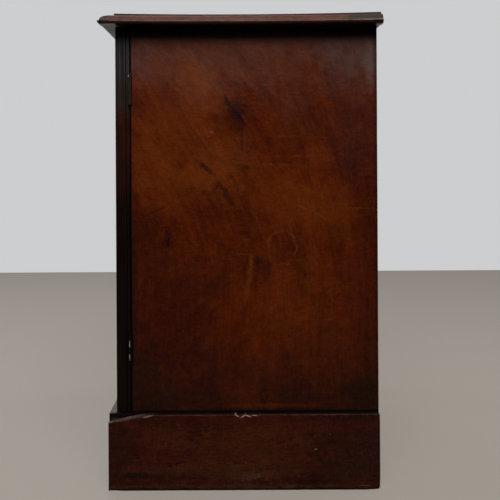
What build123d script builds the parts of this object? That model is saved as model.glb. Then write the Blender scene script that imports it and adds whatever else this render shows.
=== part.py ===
from build123d import *
import os

os.makedirs("parts", exist_ok=True)

# A collectors cabinet, in millimetres
# The front faces -Y, +Z is up, and the origin is under the middle of the top board, on the floor

# Carcase
carcase_width = 540
carcase_depth = 394.3
side_thickness = 20
side_height = 738
bottom_thickness = 18
top_rail_thickness = 18
top_rail_width = 70
housing_depth = 6
backboard_thickness = 9
backboard_count = 3
backboard_gap = 0.8
rebate_width = 10
lining_thickness = 10

# Top board, with a thumbnail moulding on its front and its ends
top_thickness = 22
top_end_overhang = 24
top_front_overhang = 25
top_back_overhang = 7
nose_radius = 6
quirk_width = 2.5
ovolo_width = 21
ovolo_height = 12

# Plinth, planted on the carcase
plinth_height = 119.5
plinth_thickness = 12
plinth_back_thickness = 18
glue_block_width = 35
glue_block_lift = 3
worn_corner_length = 60
worn_corner_drop = 11.5

# Door
door_thickness = 23
door_joint_gap = 0.7
door_bottom_gap = 1.2
door_top_gap = 1.5
stile_width = 72
rail_width = 80
tenon_length = 30
tenon_thickness = 8
tenon_shoulder = 12
panel_thickness = 6
panel_tongue = 8
panel_room = 0.5
field_height = 5
field_margin = 22
field_bevel = 16
panel_moulding_width = 11
panel_moulding_height = 8
panel_moulding_round = 5
glue_line = 0.1

# Hinges
hinge_length = 50
hinge_inset = 100
leaf_width = 20
leaf_thickness = 1.6
knuckle_radius = 3
knuckle_count = 5
knuckle_gap = 0.2
knuckle_room = 0.3
hinge_axis_proud = 0.3
pin_radius = 1.5
pin_room = 0.05

# Screws
screw_room = 0.05
brass_screw_head_radius = 2.8
brass_screw_head_height = 1.3
brass_screw_shank_radius = 1.3
brass_screw_length = 15
screw_hole_extra = 1
screw_slot_width = 0.6
screw_slot_depth = 0.6
hinge_screw_spacing = 16
strike_screw_spacing = 31
top_screw_head_radius = 4
top_screw_head_height = 2.5
top_screw_shank_radius = 2
top_screw_length = 32
top_screw_spacing = 200
top_screw_count = 3

# Lock, its bolt and its key
lock_case_width = 44
lock_case_height = 40
lock_case_depth = 12
lock_wall = 1.5
lock_side_gap = 2.5
lock_lug_height = 13
key_backset = 24
bolt_height = 12
bolt_thickness = 5
bolt_length = 30
bolt_room = 0.3
bolt_throw = 8
strike_width = 13
strike_height = 42
strike_thickness = 1.2
mortise_tip_room = 4.5
key_shank_radius = 2
key_shank_room = 0.4
key_bow_radius = 8
key_bow_hole_radius = 4.5
key_bow_thickness = 3
key_tip_clearance = 2
key_bit_drop = 7
key_bit_thickness = 1.6
key_bit_width = 3.4
key_bit_room = 0.4
escutcheon_width = 15
escutcheon_height = 30
escutcheon_thickness = 1.2

# Drawers
drawer_count = 8
top_drawer_pitch = 50
drawer_gap = 1.4
drawer_setback = 30
drawer_side_room = 0.5
drawer_back_room = 5
drawer_front_thickness = 15
drawer_side_thickness = 11
drawer_back_thickness = 9
drawer_bottom_thickness = 4
drawer_bottom_lift = 6
drawer_groove_depth = 3
drawer_lap = 9
drawer_side_drop = 3
runner_height = 7
runner_reach = 6
runner_room = 0.3
runner_end_room = 2
runner_share = 0.62
knob_spacing = 280
knob_radius = 7.5
knob_neck_radius = 3.4
knob_rose_radius = 6
knob_reach = 19
knob_rose_height = 2
knob_head_height = 9
knob_spigot_radius = 3

# Places worked out from the sizes above
cabinet_height = side_height + top_thickness
top_depth = (
    top_front_overhang + door_thickness + door_joint_gap + carcase_depth + top_back_overhang
)
top_front = -top_depth / 2
top_back = top_depth / 2
door_face = top_front + top_front_overhang
door_back = door_face + door_thickness
carcase_front = door_back + door_joint_gap
carcase_back = carcase_front + carcase_depth
backboard_front = carcase_back - backboard_thickness
side_outer = carcase_width / 2
side_inner = side_outer - side_thickness
plinth_outer = side_outer + plinth_thickness
plinth_face = door_face - plinth_thickness
bottom_underside = plinth_height - bottom_thickness
rail_underside = side_height - top_rail_thickness
lining_inner = side_inner - lining_thickness
drawer_face = carcase_front + drawer_setback
door_low = plinth_height + door_bottom_gap
door_high = side_height - door_top_gap
hinge_axis_x = side_outer + hinge_axis_proud
hinge_axis_y = door_back + door_joint_gap / 2
hinge_heights = {"upper": door_high - hinge_inset, "lower": door_low + hinge_inset}
lock_height = (door_low + door_high) / 2
lock_case_left = -side_inner + lock_side_gap
lock_case_back = door_back + lock_case_depth
key_x = lock_case_left + key_backset
bolt_back = lock_case_back - lock_wall - bolt_room
bolt_front = bolt_back - bolt_thickness
mortise_depth = bolt_throw - lock_side_gap + mortise_tip_room


def block(x_limits, y_limits, z_limits, mode=Mode.ADD):
    # A square block between its limits, added to the piece being made or cut from it
    centre = [(low + high) / 2 for low, high in (x_limits, y_limits, z_limits)]
    spans = [high - low for low, high in (x_limits, y_limits, z_limits)]
    with Locations(tuple(centre)):
        Box(*spans, mode=mode)


def outward(side, near, far):
    # The X limits of something between two distances from the middle, on the +1 or the -1 side
    return sorted((side * near, side * far))


def screw_shape(seats, head_radius, head_height, shank_radius, length, mode=Mode.ADD):
    # Countersunk screws, each with its head flush with the seat and its shank below it
    with Locations(*seats):
        Cone(
            shank_radius,
            head_radius,
            head_height,
            align=(Align.CENTER, Align.CENTER, Align.MAX),
            mode=mode,
        )
        Cylinder(
            shank_radius,
            length,
            align=(Align.CENTER, Align.CENTER, Align.MAX),
            mode=mode,
        )


def brass_screw_seats(seats):
    # Holes that take the small brass screws
    screw_shape(
        seats,
        brass_screw_head_radius + screw_room,
        brass_screw_head_height + screw_room,
        brass_screw_shank_radius + screw_room,
        brass_screw_length + screw_hole_extra,
        mode=Mode.SUBTRACT,
    )


def top_screw_seats(seats):
    # Holes that take the screws of the top board
    screw_shape(
        seats,
        top_screw_head_radius + screw_room,
        top_screw_head_height + screw_room,
        top_screw_shank_radius + screw_room,
        top_screw_length + screw_hole_extra,
        mode=Mode.SUBTRACT,
    )


def screw_slots(seats, head_radius):
    # A slot across each screw's head
    with Locations(*seats):
        Box(
            2 * head_radius,
            screw_slot_width,
            screw_slot_depth,
            align=(Align.CENTER, Align.CENTER, Align.MAX),
            mode=Mode.SUBTRACT,
        )


# Where the screws sit: each seat's own Z points out of the screw's head
leaf_screw_x = hinge_axis_x - leaf_width / 2 - knuckle_radius / 2
leaf_screw_heights = [
    height + step * hinge_screw_spacing
    for height in hinge_heights.values()
    for step in (-1, 0, 1)
]
side_leaf_seats = [
    Plane((leaf_screw_x, carcase_front, height), x_dir=(1, 0, 0), z_dir=(0, -1, 0))
    for height in leaf_screw_heights
]
door_leaf_seats = [
    Plane((leaf_screw_x, door_back, height), x_dir=(1, 0, 0), z_dir=(0, 1, 0))
    for height in leaf_screw_heights
]
strike_y = (bolt_front + bolt_back) / 2
strike_seats = [
    Plane((-side_inner, strike_y, lock_height + step), x_dir=(0, 1, 0), z_dir=(1, 0, 0))
    for step in (-strike_screw_spacing / 2, strike_screw_spacing / 2)
]
lug_screw_height = lock_case_height / 2 + lock_lug_height / 2
lug_screw_x = (
    lock_case_left + lock_lug_height / 2,
    lock_case_left + lock_case_width - lock_lug_height / 2,
)
lock_seats = [
    Plane((x, door_back + lock_wall, lock_height + step), x_dir=(1, 0, 0), z_dir=(0, 1, 0))
    for x in lug_screw_x
    for step in (-lug_screw_height, lug_screw_height)
]
top_screw_places = [
    (number - (top_screw_count - 1) / 2) * top_screw_spacing for number in range(top_screw_count)
]
top_screw_planes = [
    Plane((x, y, rail_underside), z_dir=(0, 0, -1))
    for x in top_screw_places
    for y in (carcase_front + top_rail_width / 2, backboard_front - top_rail_width / 2)
]


# Top board
def moulded_edge(outer, inward):
    # The moulding's outline from the underside to the top face, at one edge of the top board
    # outer is where the nose reaches to, and inward is +1 or -1
    nose_centre = (outer + inward * nose_radius, side_height + nose_radius)
    ovolo_foot = (outer + inward * quirk_width, side_height + nose_radius)
    ovolo_centre = (ovolo_foot[0] + inward * ovolo_width, ovolo_foot[1])
    ovolo_top = (ovolo_centre[0], ovolo_centre[1] + ovolo_height)
    if inward > 0:
        CenterArc(nose_centre, nose_radius, 270, -90)
        EllipticalCenterArc(ovolo_centre, ovolo_width, ovolo_height, 180, arc_size=-90)
    else:
        CenterArc(nose_centre, nose_radius, 270, 90)
        EllipticalCenterArc(ovolo_centre, ovolo_width, ovolo_height, 0, arc_size=90)
    Line((outer, ovolo_foot[1]), ovolo_foot)
    Line(ovolo_top, (ovolo_top[0], cabinet_height))
    return (nose_centre[0], side_height), (ovolo_top[0], cabinet_height)


top_end = side_outer + top_end_overhang
with BuildPart() as top_board:
    with BuildSketch(Plane.YZ.offset(-top_end)) as top_section:
        with BuildLine():
            low_front, high_front = moulded_edge(top_front, 1)
            Line(low_front, (top_back, side_height))
            Line((top_back, side_height), (top_back, cabinet_height))
            Line((top_back, cabinet_height), high_front)
        make_face()
    extrude(amount=2 * top_end)
    with BuildSketch(Plane.XZ.offset(-top_back)) as end_section:
        with BuildLine():
            low_left, high_left = moulded_edge(-top_end, 1)
            low_right, high_right = moulded_edge(top_end, -1)
            Line(low_left, low_right)
            Line(high_left, high_right)
        make_face()
    extrude(amount=top_depth, mode=Mode.INTERSECT)
    top_screw_seats(top_screw_planes)
top_board.part.label = "top_board"
export_step(top_board.part, "parts/top_board.step")

# Rails that tie the sides together under the top board
top_rail_limits = {
    "front": (carcase_front, carcase_front + top_rail_width),
    "back": (backboard_front - top_rail_width, backboard_front),
}
rail_reach = side_inner + housing_depth
for end, y_limits in top_rail_limits.items():
    with BuildPart() as top_rail:
        block((-rail_reach, rail_reach), y_limits, (rail_underside, side_height))
        top_screw_seats(top_screw_planes)
    top_rail.part.label = f"{end}_top_rail"
    export_step(top_rail.part, f"parts/{end}_top_rail.step")

with BuildPart() as top_screws:
    screw_shape(
        top_screw_planes,
        top_screw_head_radius,
        top_screw_head_height,
        top_screw_shank_radius,
        top_screw_length,
    )
    screw_slots(top_screw_planes, top_screw_head_radius)
top_screws.part.label = "top_screws"
export_step(top_screws.part, "parts/top_screws.step")

# Sides: the right one carries the hinges and the left one takes the bolt
strike_x = (-side_inner - strike_thickness, -side_inner)
mortise_x = (-side_inner - mortise_depth, -side_inner)
bolt_y = (bolt_front, bolt_back)
bolt_z = (lock_height - bolt_height / 2, lock_height + bolt_height / 2)
mortise_y = (bolt_front - bolt_room, bolt_back + bolt_room)
mortise_z = (bolt_z[0] - bolt_room, bolt_z[1] + bolt_room)
strike_y_limits = (strike_y - strike_width / 2, strike_y + strike_width / 2)
strike_z_limits = (lock_height - strike_height / 2, lock_height + strike_height / 2)
leaf_x_limits = (hinge_axis_x - leaf_width, hinge_axis_x - knuckle_radius - knuckle_room)


def leaf_span(height):
    # The Z limits of the hinge at a height
    return (height - hinge_length / 2, height + hinge_length / 2)


def knuckle_notch(height):
    # Room for the hinge's barrel along the corner of the wood
    with Locations((hinge_axis_x, hinge_axis_y, height)):
        Cylinder(
            knuckle_radius + knuckle_room,
            hinge_length + 2 * knuckle_room,
            mode=Mode.SUBTRACT,
        )


def side_board(side):
    # A side of the carcase, with its housings and its rebate for the backboards
    inner_x = outward(side, side_inner, side_inner + housing_depth)
    block(
        outward(side, side_inner, side_outer),
        (carcase_front, carcase_back),
        (0, side_height),
    )
    block(
        inner_x,
        (carcase_front, backboard_front),
        (bottom_underside, plinth_height),
        mode=Mode.SUBTRACT,
    )
    for y_limits in top_rail_limits.values():
        block(inner_x, y_limits, (rail_underside, side_height), mode=Mode.SUBTRACT)
    block(
        outward(side, side_inner, side_inner + rebate_width),
        (backboard_front, carcase_back),
        (bottom_underside, side_height),
        mode=Mode.SUBTRACT,
    )


with BuildPart() as right_side:
    side_board(1)
    for height in hinge_heights.values():
        block(
            (leaf_x_limits[0], side_outer),
            (carcase_front, carcase_front + leaf_thickness),
            leaf_span(height),
            mode=Mode.SUBTRACT,
        )
        knuckle_notch(height)
    brass_screw_seats(side_leaf_seats)
right_side.part.label = "right_side"
export_step(right_side.part, "parts/right_side.step")

with BuildPart() as left_side:
    side_board(-1)
    block(strike_x, strike_y_limits, strike_z_limits, mode=Mode.SUBTRACT)
    block(mortise_x, mortise_y, mortise_z, mode=Mode.SUBTRACT)
    brass_screw_seats(strike_seats)
left_side.part.label = "left_side"
export_step(left_side.part, "parts/left_side.step")

with BuildPart() as strike_plate:
    block(strike_x, strike_y_limits, strike_z_limits)
    block(mortise_x, mortise_y, mortise_z, mode=Mode.SUBTRACT)
    brass_screw_seats(strike_seats)
strike_plate.part.label = "strike_plate"
export_step(strike_plate.part, "parts/strike_plate.step")

with BuildPart() as side_screws:
    screw_shape(
        side_leaf_seats + strike_seats,
        brass_screw_head_radius,
        brass_screw_head_height,
        brass_screw_shank_radius,
        brass_screw_length,
    )
    screw_slots(side_leaf_seats + strike_seats, brass_screw_head_radius)
side_screws.part.label = "side_screws"
export_step(side_screws.part, "parts/side_screws.step")

# Bottom board, backboards and linings
with BuildPart() as bottom_board:
    block(
        (-rail_reach, rail_reach),
        (carcase_front, backboard_front),
        (bottom_underside, plinth_height),
    )
bottom_board.part.label = "bottom_board"
export_step(bottom_board.part, "parts/bottom_board.step")

backboard_reach = side_inner + rebate_width
backboard_pitch = 2 * backboard_reach / backboard_count
with BuildPart() as backboards:
    for number in range(backboard_count):
        left_edge = -backboard_reach + number * backboard_pitch
        block(
            (left_edge + backboard_gap / 2, left_edge + backboard_pitch - backboard_gap / 2),
            (backboard_front, carcase_back),
            (bottom_underside, side_height),
        )
backboards.part.label = "backboards"
export_step(backboards.part, "parts/backboards.step")

for name, side in (("right_lining", 1), ("left_lining", -1)):
    with BuildPart() as lining:
        block(
            outward(side, lining_inner, side_inner),
            (drawer_face, backboard_front),
            (plinth_height, rail_underside),
        )
    lining.part.label = name
    export_step(lining.part, f"parts/{name}.step")

# Plinth: boards planted on the carcase, mitred at the front and worn down at the near corner
with BuildPart() as base_rail:
    block((-side_outer, side_outer), (door_face, carcase_front), (0, plinth_height))
base_rail.part.label = "base_rail"
export_step(base_rail.part, "parts/base_rail.step")


def wear_corner():
    # The wedge worn off the top of the plinth at its right front corner
    reach = 2 * plinth_thickness
    with BuildSketch(Plane.YZ.offset(side_outer)) as wedge:
        with BuildLine():
            Polyline(
                (plinth_face, plinth_height - worn_corner_drop),
                (plinth_face + worn_corner_length, plinth_height),
                (plinth_face, plinth_height),
                close=True,
            )
        make_face()
    extrude(wedge.sketch, amount=reach, mode=Mode.SUBTRACT)


with BuildPart() as plinth_front:
    with BuildSketch() as front_plan:
        with BuildLine():
            Polyline(
                (-plinth_outer, plinth_face),
                (plinth_outer, plinth_face),
                (side_outer, door_face),
                (-side_outer, door_face),
                close=True,
            )
        make_face()
    extrude(amount=plinth_height)
    wear_corner()
plinth_front.part.label = "plinth_front"
export_step(plinth_front.part, "parts/plinth_front.step")

for name, side in (("plinth_right", 1), ("plinth_left", -1)):
    with BuildPart() as plinth_side:
        with BuildSketch() as side_plan:
            with BuildLine():
                Polyline(
                    (side * plinth_outer, plinth_face),
                    (side * plinth_outer, carcase_back),
                    (side * side_outer, carcase_back),
                    (side * side_outer, door_face),
                    close=True,
                )
            make_face()
        extrude(amount=plinth_height)
        if side > 0:
            wear_corner()
    plinth_side.part.label = name
    export_step(plinth_side.part, f"parts/{name}.step")

with BuildPart() as plinth_back:
    block(
        (-side_inner, side_inner),
        (carcase_back - plinth_back_thickness, carcase_back),
        (0, bottom_underside),
    )
plinth_back.part.label = "plinth_back"
export_step(plinth_back.part, "parts/plinth_back.step")

glue_block_rows = (
    (carcase_front, carcase_front + glue_block_width),
    (carcase_back - plinth_back_thickness - glue_block_width, carcase_back - plinth_back_thickness),
)
with BuildPart() as glue_blocks:
    for side in (-1, 1):
        for y_limits in glue_block_rows:
            block(
                outward(side, side_inner - glue_block_width, side_inner),
                y_limits,
                (glue_block_lift, bottom_underside),
            )
glue_blocks.part.label = "glue_blocks"
export_step(glue_blocks.part, "parts/glue_blocks.step")


# Hinges
def hinge_leaf(height, plate_y, own_knuckles):
    # One leaf: its plate in the joint, and its own share of the knuckles round the pin
    low = height - hinge_length / 2
    pitch = hinge_length / knuckle_count
    block(leaf_x_limits, plate_y, leaf_span(height))
    for number in own_knuckles:
        knuckle_z = (
            low + number * pitch + knuckle_gap / 2,
            low + (number + 1) * pitch - knuckle_gap / 2,
        )
        block((leaf_x_limits[1], hinge_axis_x), plate_y, knuckle_z)
        with Locations((hinge_axis_x, hinge_axis_y, sum(knuckle_z) / 2)):
            Cylinder(knuckle_radius, knuckle_z[1] - knuckle_z[0])
    with Locations((hinge_axis_x, hinge_axis_y, height)):
        Cylinder(pin_radius + pin_room, hinge_length, mode=Mode.SUBTRACT)


for place, height in hinge_heights.items():
    with BuildPart() as side_leaf:
        hinge_leaf(
            height,
            (carcase_front, carcase_front + leaf_thickness),
            range(0, knuckle_count, 2),
        )
        brass_screw_seats(side_leaf_seats)
    side_leaf.part.label = f"{place}_hinge_side_leaf"
    export_step(side_leaf.part, f"parts/{place}_hinge_side_leaf.step")

    with BuildPart() as door_leaf:
        hinge_leaf(
            height,
            (door_back - leaf_thickness, door_back),
            range(1, knuckle_count, 2),
        )
        brass_screw_seats(door_leaf_seats)
    door_leaf.part.label = f"{place}_hinge_door_leaf"
    export_step(door_leaf.part, f"parts/{place}_hinge_door_leaf.step")

with BuildPart() as hinge_pins:
    for height in hinge_heights.values():
        with Locations((hinge_axis_x, hinge_axis_y, height)):
            Cylinder(pin_radius, hinge_length)
hinge_pins.part.label = "hinge_pins"
export_step(hinge_pins.part, "parts/hinge_pins.step")

# Door frame: rails tenoned into the stiles, and a groove that holds the panel
opening_x = side_outer - stile_width
opening_z = (door_low + rail_width, door_high - rail_width)
tongue_y = (
    (door_face + door_back - panel_thickness) / 2,
    (door_face + door_back + panel_thickness) / 2,
)
tenon_y = (
    (door_face + door_back - tenon_thickness) / 2,
    (door_face + door_back + tenon_thickness) / 2,
)
tenon_spans = {
    "upper": (opening_z[1] + tenon_shoulder, door_high - tenon_shoulder),
    "lower": (door_low + tenon_shoulder, opening_z[0] - tenon_shoulder),
}


def groove(mode=Mode.SUBTRACT):
    # The groove round the panel, cut into whichever frame piece it crosses
    block(
        (-opening_x - panel_tongue, opening_x + panel_tongue),
        tongue_y,
        (opening_z[0] - panel_tongue, opening_z[1] + panel_tongue),
        mode=mode,
    )


def stile(side):
    # An upright of the frame, mortised for both rails
    block(outward(side, opening_x, side_outer), (door_face, door_back), (door_low, door_high))
    groove()
    for z_limits in tenon_spans.values():
        block(
            outward(side, opening_x, opening_x + tenon_length + glue_line),
            tenon_y,
            z_limits,
            mode=Mode.SUBTRACT,
        )


def keyhole(centre, y_limits, room):
    # The keyhole, round for the shank with a slot below it for the bit
    half_slot = key_bit_thickness / 2 + room
    with Locations(Plane((centre, sum(y_limits) / 2, lock_height), z_dir=(0, -1, 0))):
        Cylinder(key_shank_radius + room, y_limits[1] - y_limits[0], mode=Mode.SUBTRACT)
    block(
        (centre - half_slot, centre + half_slot),
        y_limits,
        (lock_height - key_bit_drop - room, lock_height),
        mode=Mode.SUBTRACT,
    )


with BuildPart() as hinge_stile:
    stile(1)
    for height in hinge_heights.values():
        block(
            (leaf_x_limits[0], side_outer),
            (door_back - leaf_thickness, door_back),
            leaf_span(height),
            mode=Mode.SUBTRACT,
        )
        knuckle_notch(height)
    brass_screw_seats(door_leaf_seats)
hinge_stile.part.label = "hinge_stile"
export_step(hinge_stile.part, "parts/hinge_stile.step")

with BuildPart() as lock_stile:
    stile(-1)
    keyhole(key_x, (door_face, door_back), key_shank_room)
    brass_screw_seats(lock_seats)
lock_stile.part.label = "lock_stile"
export_step(lock_stile.part, "parts/lock_stile.step")

rail_spans = {
    "upper": (opening_z[1], door_high),
    "lower": (door_low, opening_z[0]),
}
for name, z_limits in rail_spans.items():
    with BuildPart() as rail:
        block((-opening_x, opening_x), (door_face, door_back), z_limits)
        groove()
        for side in (-1, 1):
            block(outward(side, opening_x, opening_x + tenon_length), tenon_y, tenon_spans[name])
    rail.part.label = f"{name}_rail"
    export_step(rail.part, f"parts/{name}_rail.step")

# Door panel, with a raised field
panel_half_width = opening_x + panel_tongue - panel_room
panel_half_height = (opening_z[1] - opening_z[0]) / 2 + panel_tongue - panel_room
panel_middle = (opening_z[0] + opening_z[1]) / 2
field_width = 2 * (opening_x - field_margin)
field_length = opening_z[1] - opening_z[0] - 2 * field_margin
field_plane = Plane((0, tongue_y[0], panel_middle), x_dir=(1, 0, 0), z_dir=(0, -1, 0))
with BuildPart() as door_panel:
    block(
        (-panel_half_width, panel_half_width),
        tongue_y,
        (panel_middle - panel_half_height, panel_middle + panel_half_height),
    )
    with BuildSketch(field_plane):
        Rectangle(field_width, field_length)
    with BuildSketch(field_plane.offset(field_height)):
        Rectangle(field_width - 2 * field_bevel, field_length - 2 * field_bevel)
    loft()
door_panel.part.label = "door_panel"
export_step(door_panel.part, "parts/door_panel.step")

# Mitred strips of moulding round the panel
with BuildPart() as panel_moulding:
    with BuildSketch(field_plane):
        Rectangle(2 * opening_x, opening_z[1] - opening_z[0])
        Rectangle(
            2 * (opening_x - panel_moulding_width),
            opening_z[1] - opening_z[0] - 2 * panel_moulding_width,
            mode=Mode.SUBTRACT,
        )
    extrude(amount=panel_moulding_height)
    front_edges = panel_moulding.edges().group_by(Axis.Y)[0]
    inner_edges = front_edges.sort_by(SortBy.LENGTH).filter_by(
        lambda edge: abs(edge.center().X) < opening_x - panel_moulding_width / 2
        and abs(edge.center().Z - panel_middle) < (opening_z[1] - opening_z[0] - panel_moulding_width) / 2
    )
    fillet(inner_edges, panel_moulding_round)
    for side in (-1, 1):
        for corner in opening_z:
            turn = 45 if (corner > panel_middle) == (side > 0) else -45
            with Locations(Location((side * opening_x, tongue_y[0], corner), (0, -turn, 0))):
                Box(4 * panel_moulding_width, 4 * panel_moulding_height, glue_line, mode=Mode.SUBTRACT)
panel_moulding.part.label = "panel_moulding"
export_step(panel_moulding.part, "parts/panel_moulding.step")

# Lock
lock_case_x = (lock_case_left, lock_case_left + lock_case_width)
lock_case_z = (lock_height - lock_case_height / 2, lock_height + lock_case_height / 2)
with BuildPart() as lock_case:
    block(lock_case_x, (door_back, lock_case_back), lock_case_z)
    block(
        lock_case_x,
        (door_back, door_back + lock_wall),
        (lock_case_z[0] - lock_lug_height, lock_case_z[1] + lock_lug_height),
    )
    block(
        (lock_case_x[0] + lock_wall, lock_case_x[1] - lock_wall),
        (door_back, lock_case_back - lock_wall),
        (lock_case_z[0] + lock_wall, lock_case_z[1] - lock_wall),
        mode=Mode.SUBTRACT,
    )
    block(
        (lock_case_x[0], lock_case_x[0] + lock_wall),
        mortise_y,
        mortise_z,
        mode=Mode.SUBTRACT,
    )
    brass_screw_seats(lock_seats)
lock_case.part.label = "lock_case"
export_step(lock_case.part, "parts/lock_case.step")

with BuildPart() as lock_bolt:
    block((lock_case_x[0], lock_case_x[0] + bolt_length), bolt_y, bolt_z)
lock_bolt.part.label = "lock_bolt"
export_step(lock_bolt.part, "parts/lock_bolt.step")

with BuildPart() as door_screws:
    screw_shape(
        door_leaf_seats + lock_seats,
        brass_screw_head_radius,
        brass_screw_head_height,
        brass_screw_shank_radius,
        brass_screw_length,
    )
    screw_slots(door_leaf_seats + lock_seats, brass_screw_head_radius)
door_screws.part.label = "door_screws"
export_step(door_screws.part, "parts/door_screws.step")

escutcheon_plane = Plane((key_x, door_face, lock_height), x_dir=(1, 0, 0), z_dir=(0, -1, 0))
with BuildPart() as escutcheon:
    with BuildSketch(escutcheon_plane):
        Ellipse(escutcheon_width / 2, escutcheon_height / 2)
    extrude(amount=escutcheon_thickness)
    keyhole(key_x, (door_face - escutcheon_thickness, door_face), key_shank_room)
escutcheon.part.label = "escutcheon"
export_step(escutcheon.part, "parts/escutcheon.step")

# Key: a ring for a bow, a round shank, and a bit that turns behind the door in the lock's case
key_front = top_front + key_tip_clearance
bow_centre = key_front + key_bow_radius
bit_y = (door_back + key_bit_room, door_back + key_bit_room + key_bit_width)
with BuildPart() as key:
    with BuildSketch(Plane.YZ.offset(key_x - key_bow_thickness / 2)) as bow_outline:
        with Locations((bow_centre, lock_height)):
            Circle(key_bow_radius)
            Circle(key_bow_hole_radius, mode=Mode.SUBTRACT)
    extrude(amount=key_bow_thickness)
    shank_start = bow_centre + (key_bow_radius + key_bow_hole_radius) / 2
    with BuildSketch(Plane((key_x, shank_start, lock_height), z_dir=(0, 1, 0))):
        Circle(key_shank_radius)
    extrude(amount=bit_y[1] - shank_start)
    block(
        (key_x - key_bit_thickness / 2, key_x + key_bit_thickness / 2),
        bit_y,
        (lock_height - key_bit_drop, lock_height),
    )
key.part.label = "key"
export_step(key.part, "parts/key.step")

# Drawers, numbered from the top, each a little deeper than the one above it
interior_height = rail_underside - plinth_height
pitch_steps = drawer_count * (drawer_count - 1) / 2
pitch_step = (interior_height - drawer_count * top_drawer_pitch) / pitch_steps
drawer_half_width = lining_inner - drawer_side_room
drawer_inner = drawer_half_width - drawer_side_thickness
drawer_front_back = drawer_face + drawer_front_thickness
drawer_side_start = drawer_front_back - drawer_lap
drawer_back = backboard_front - drawer_back_room
runner_start = drawer_front_back + runner_end_room
runner_depth = runner_reach + runner_room


def drawer_limits(number):
    # The Z limits of a drawer's front
    high = rail_underside - number * top_drawer_pitch - pitch_step * number * (number - 1) / 2
    low = high - top_drawer_pitch - number * pitch_step
    return (low + drawer_gap / 2, high - drawer_gap / 2)


def runner_limits(number):
    # The Z limits of a drawer's runners
    low, high = drawer_limits(number)
    middle = low + runner_share * (high - low)
    return (middle - runner_height / 2, middle + runner_height / 2)


with BuildPart() as drawer_runners:
    for number in range(drawer_count):
        for side in (-1, 1):
            block(
                outward(side, lining_inner - runner_reach, lining_inner),
                (runner_start, backboard_front),
                runner_limits(number),
            )
drawer_runners.part.label = "drawer_runners"
export_step(drawer_runners.part, "parts/drawer_runners.step")


def knob_seats(number):
    # Where a drawer's two knobs meet its front: each seat's Z points out of the front
    low, high = drawer_limits(number)
    return [
        Plane((x, drawer_face, (low + high) / 2), x_dir=(1, 0, 0), z_dir=(0, -1, 0))
        for x in (-knob_spacing / 2, knob_spacing / 2)
    ]


def knob_outline():
    # Half the outline of a turned knob, from the end of its spigot to the middle of its face
    head_foot = knob_reach - knob_head_height
    Polyline(
        (0, -drawer_front_thickness),
        (knob_spigot_radius, -drawer_front_thickness),
        (knob_spigot_radius, 0),
        (knob_rose_radius, 0),
        (knob_rose_radius, knob_rose_height),
        (knob_neck_radius, knob_rose_height + knob_neck_radius / 2),
        (knob_neck_radius, head_foot),
    )
    Spline(
        (knob_neck_radius, head_foot),
        (knob_radius, head_foot + knob_head_height / 2),
        (0, knob_reach),
        tangents=((1, 0.4), (-1, 0)),
    )
    Line((0, knob_reach), (0, -drawer_front_thickness))


def drawer_front(number):
    # The show front, lapped over the ends of the sides and grooved for the bottom
    z_limits = drawer_limits(number)
    block((-drawer_half_width, drawer_half_width), (drawer_face, drawer_front_back), z_limits)
    side_top = z_limits[1] - drawer_side_drop
    for side in (-1, 1):
        block(
            outward(side, drawer_inner, drawer_half_width),
            (drawer_side_start, drawer_front_back),
            (z_limits[0], side_top),
            mode=Mode.SUBTRACT,
        )
    bottom_low = z_limits[0] + drawer_bottom_lift
    block(
        (-drawer_inner, drawer_inner),
        (drawer_front_back - drawer_groove_depth, drawer_front_back),
        (bottom_low, bottom_low + drawer_bottom_thickness),
        mode=Mode.SUBTRACT,
    )
    with Locations(*knob_seats(number)):
        Cylinder(
            knob_spigot_radius + screw_room,
            drawer_front_thickness,
            align=(Align.CENTER, Align.CENTER, Align.MAX),
            mode=Mode.SUBTRACT,
        )


def drawer_side(number, side):
    # A drawer's side, grooved outside for the runner and inside for the bottom
    z_limits = drawer_limits(number)
    runner_z = runner_limits(number)
    bottom_low = z_limits[0] + drawer_bottom_lift
    length = (drawer_side_start, drawer_back)
    block(
        outward(side, drawer_inner, drawer_half_width),
        length,
        (z_limits[0], z_limits[1] - drawer_side_drop),
    )
    block(
        outward(side, lining_inner - runner_depth, drawer_half_width),
        length,
        (runner_z[0] - runner_room, runner_z[1] + runner_room),
        mode=Mode.SUBTRACT,
    )
    block(
        outward(side, drawer_inner, drawer_inner + drawer_groove_depth),
        length,
        (bottom_low, bottom_low + drawer_bottom_thickness),
        mode=Mode.SUBTRACT,
    )


for number in range(drawer_count):
    name = f"drawer_{number + 1}"
    front_z = drawer_limits(number)
    inside_low = front_z[0] + drawer_bottom_lift + drawer_bottom_thickness
    bottom_reach = drawer_inner + drawer_groove_depth - glue_line

    with BuildPart() as front:
        drawer_front(number)
    front.part.label = f"{name}_front"
    export_step(front.part, f"parts/{name}_front.step")

    with BuildPart() as box:
        drawer_side(number, -1)
        drawer_side(number, 1)
        block(
            (-drawer_inner + glue_line, drawer_inner - glue_line),
            (drawer_back - drawer_back_thickness, drawer_back),
            (inside_low + glue_line, front_z[1] - drawer_side_drop),
        )
        block(
            (-bottom_reach, bottom_reach),
            (drawer_front_back + glue_line, drawer_back),
            (inside_low - drawer_bottom_thickness + glue_line, inside_low - glue_line),
        )
    box.part.label = f"{name}_box"
    export_step(box.part, f"parts/{name}_box.step")

    with BuildPart() as knobs:
        for seat in knob_seats(number):
            knob_plane = Plane(seat.origin, x_dir=(1, 0, 0), z_dir=(0, 0, -1))
            with BuildSketch(knob_plane) as knob_half:
                with BuildLine():
                    knob_outline()
                make_face()
            revolve(knob_half.sketch, axis=Axis(seat.origin, seat.z_dir))
    knobs.part.label = f"{name}_knobs"
    export_step(knobs.part, f"parts/{name}_knobs.step")
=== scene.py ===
import math

import bmesh
import bpy
from mathutils import Matrix, Vector, noise


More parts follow.
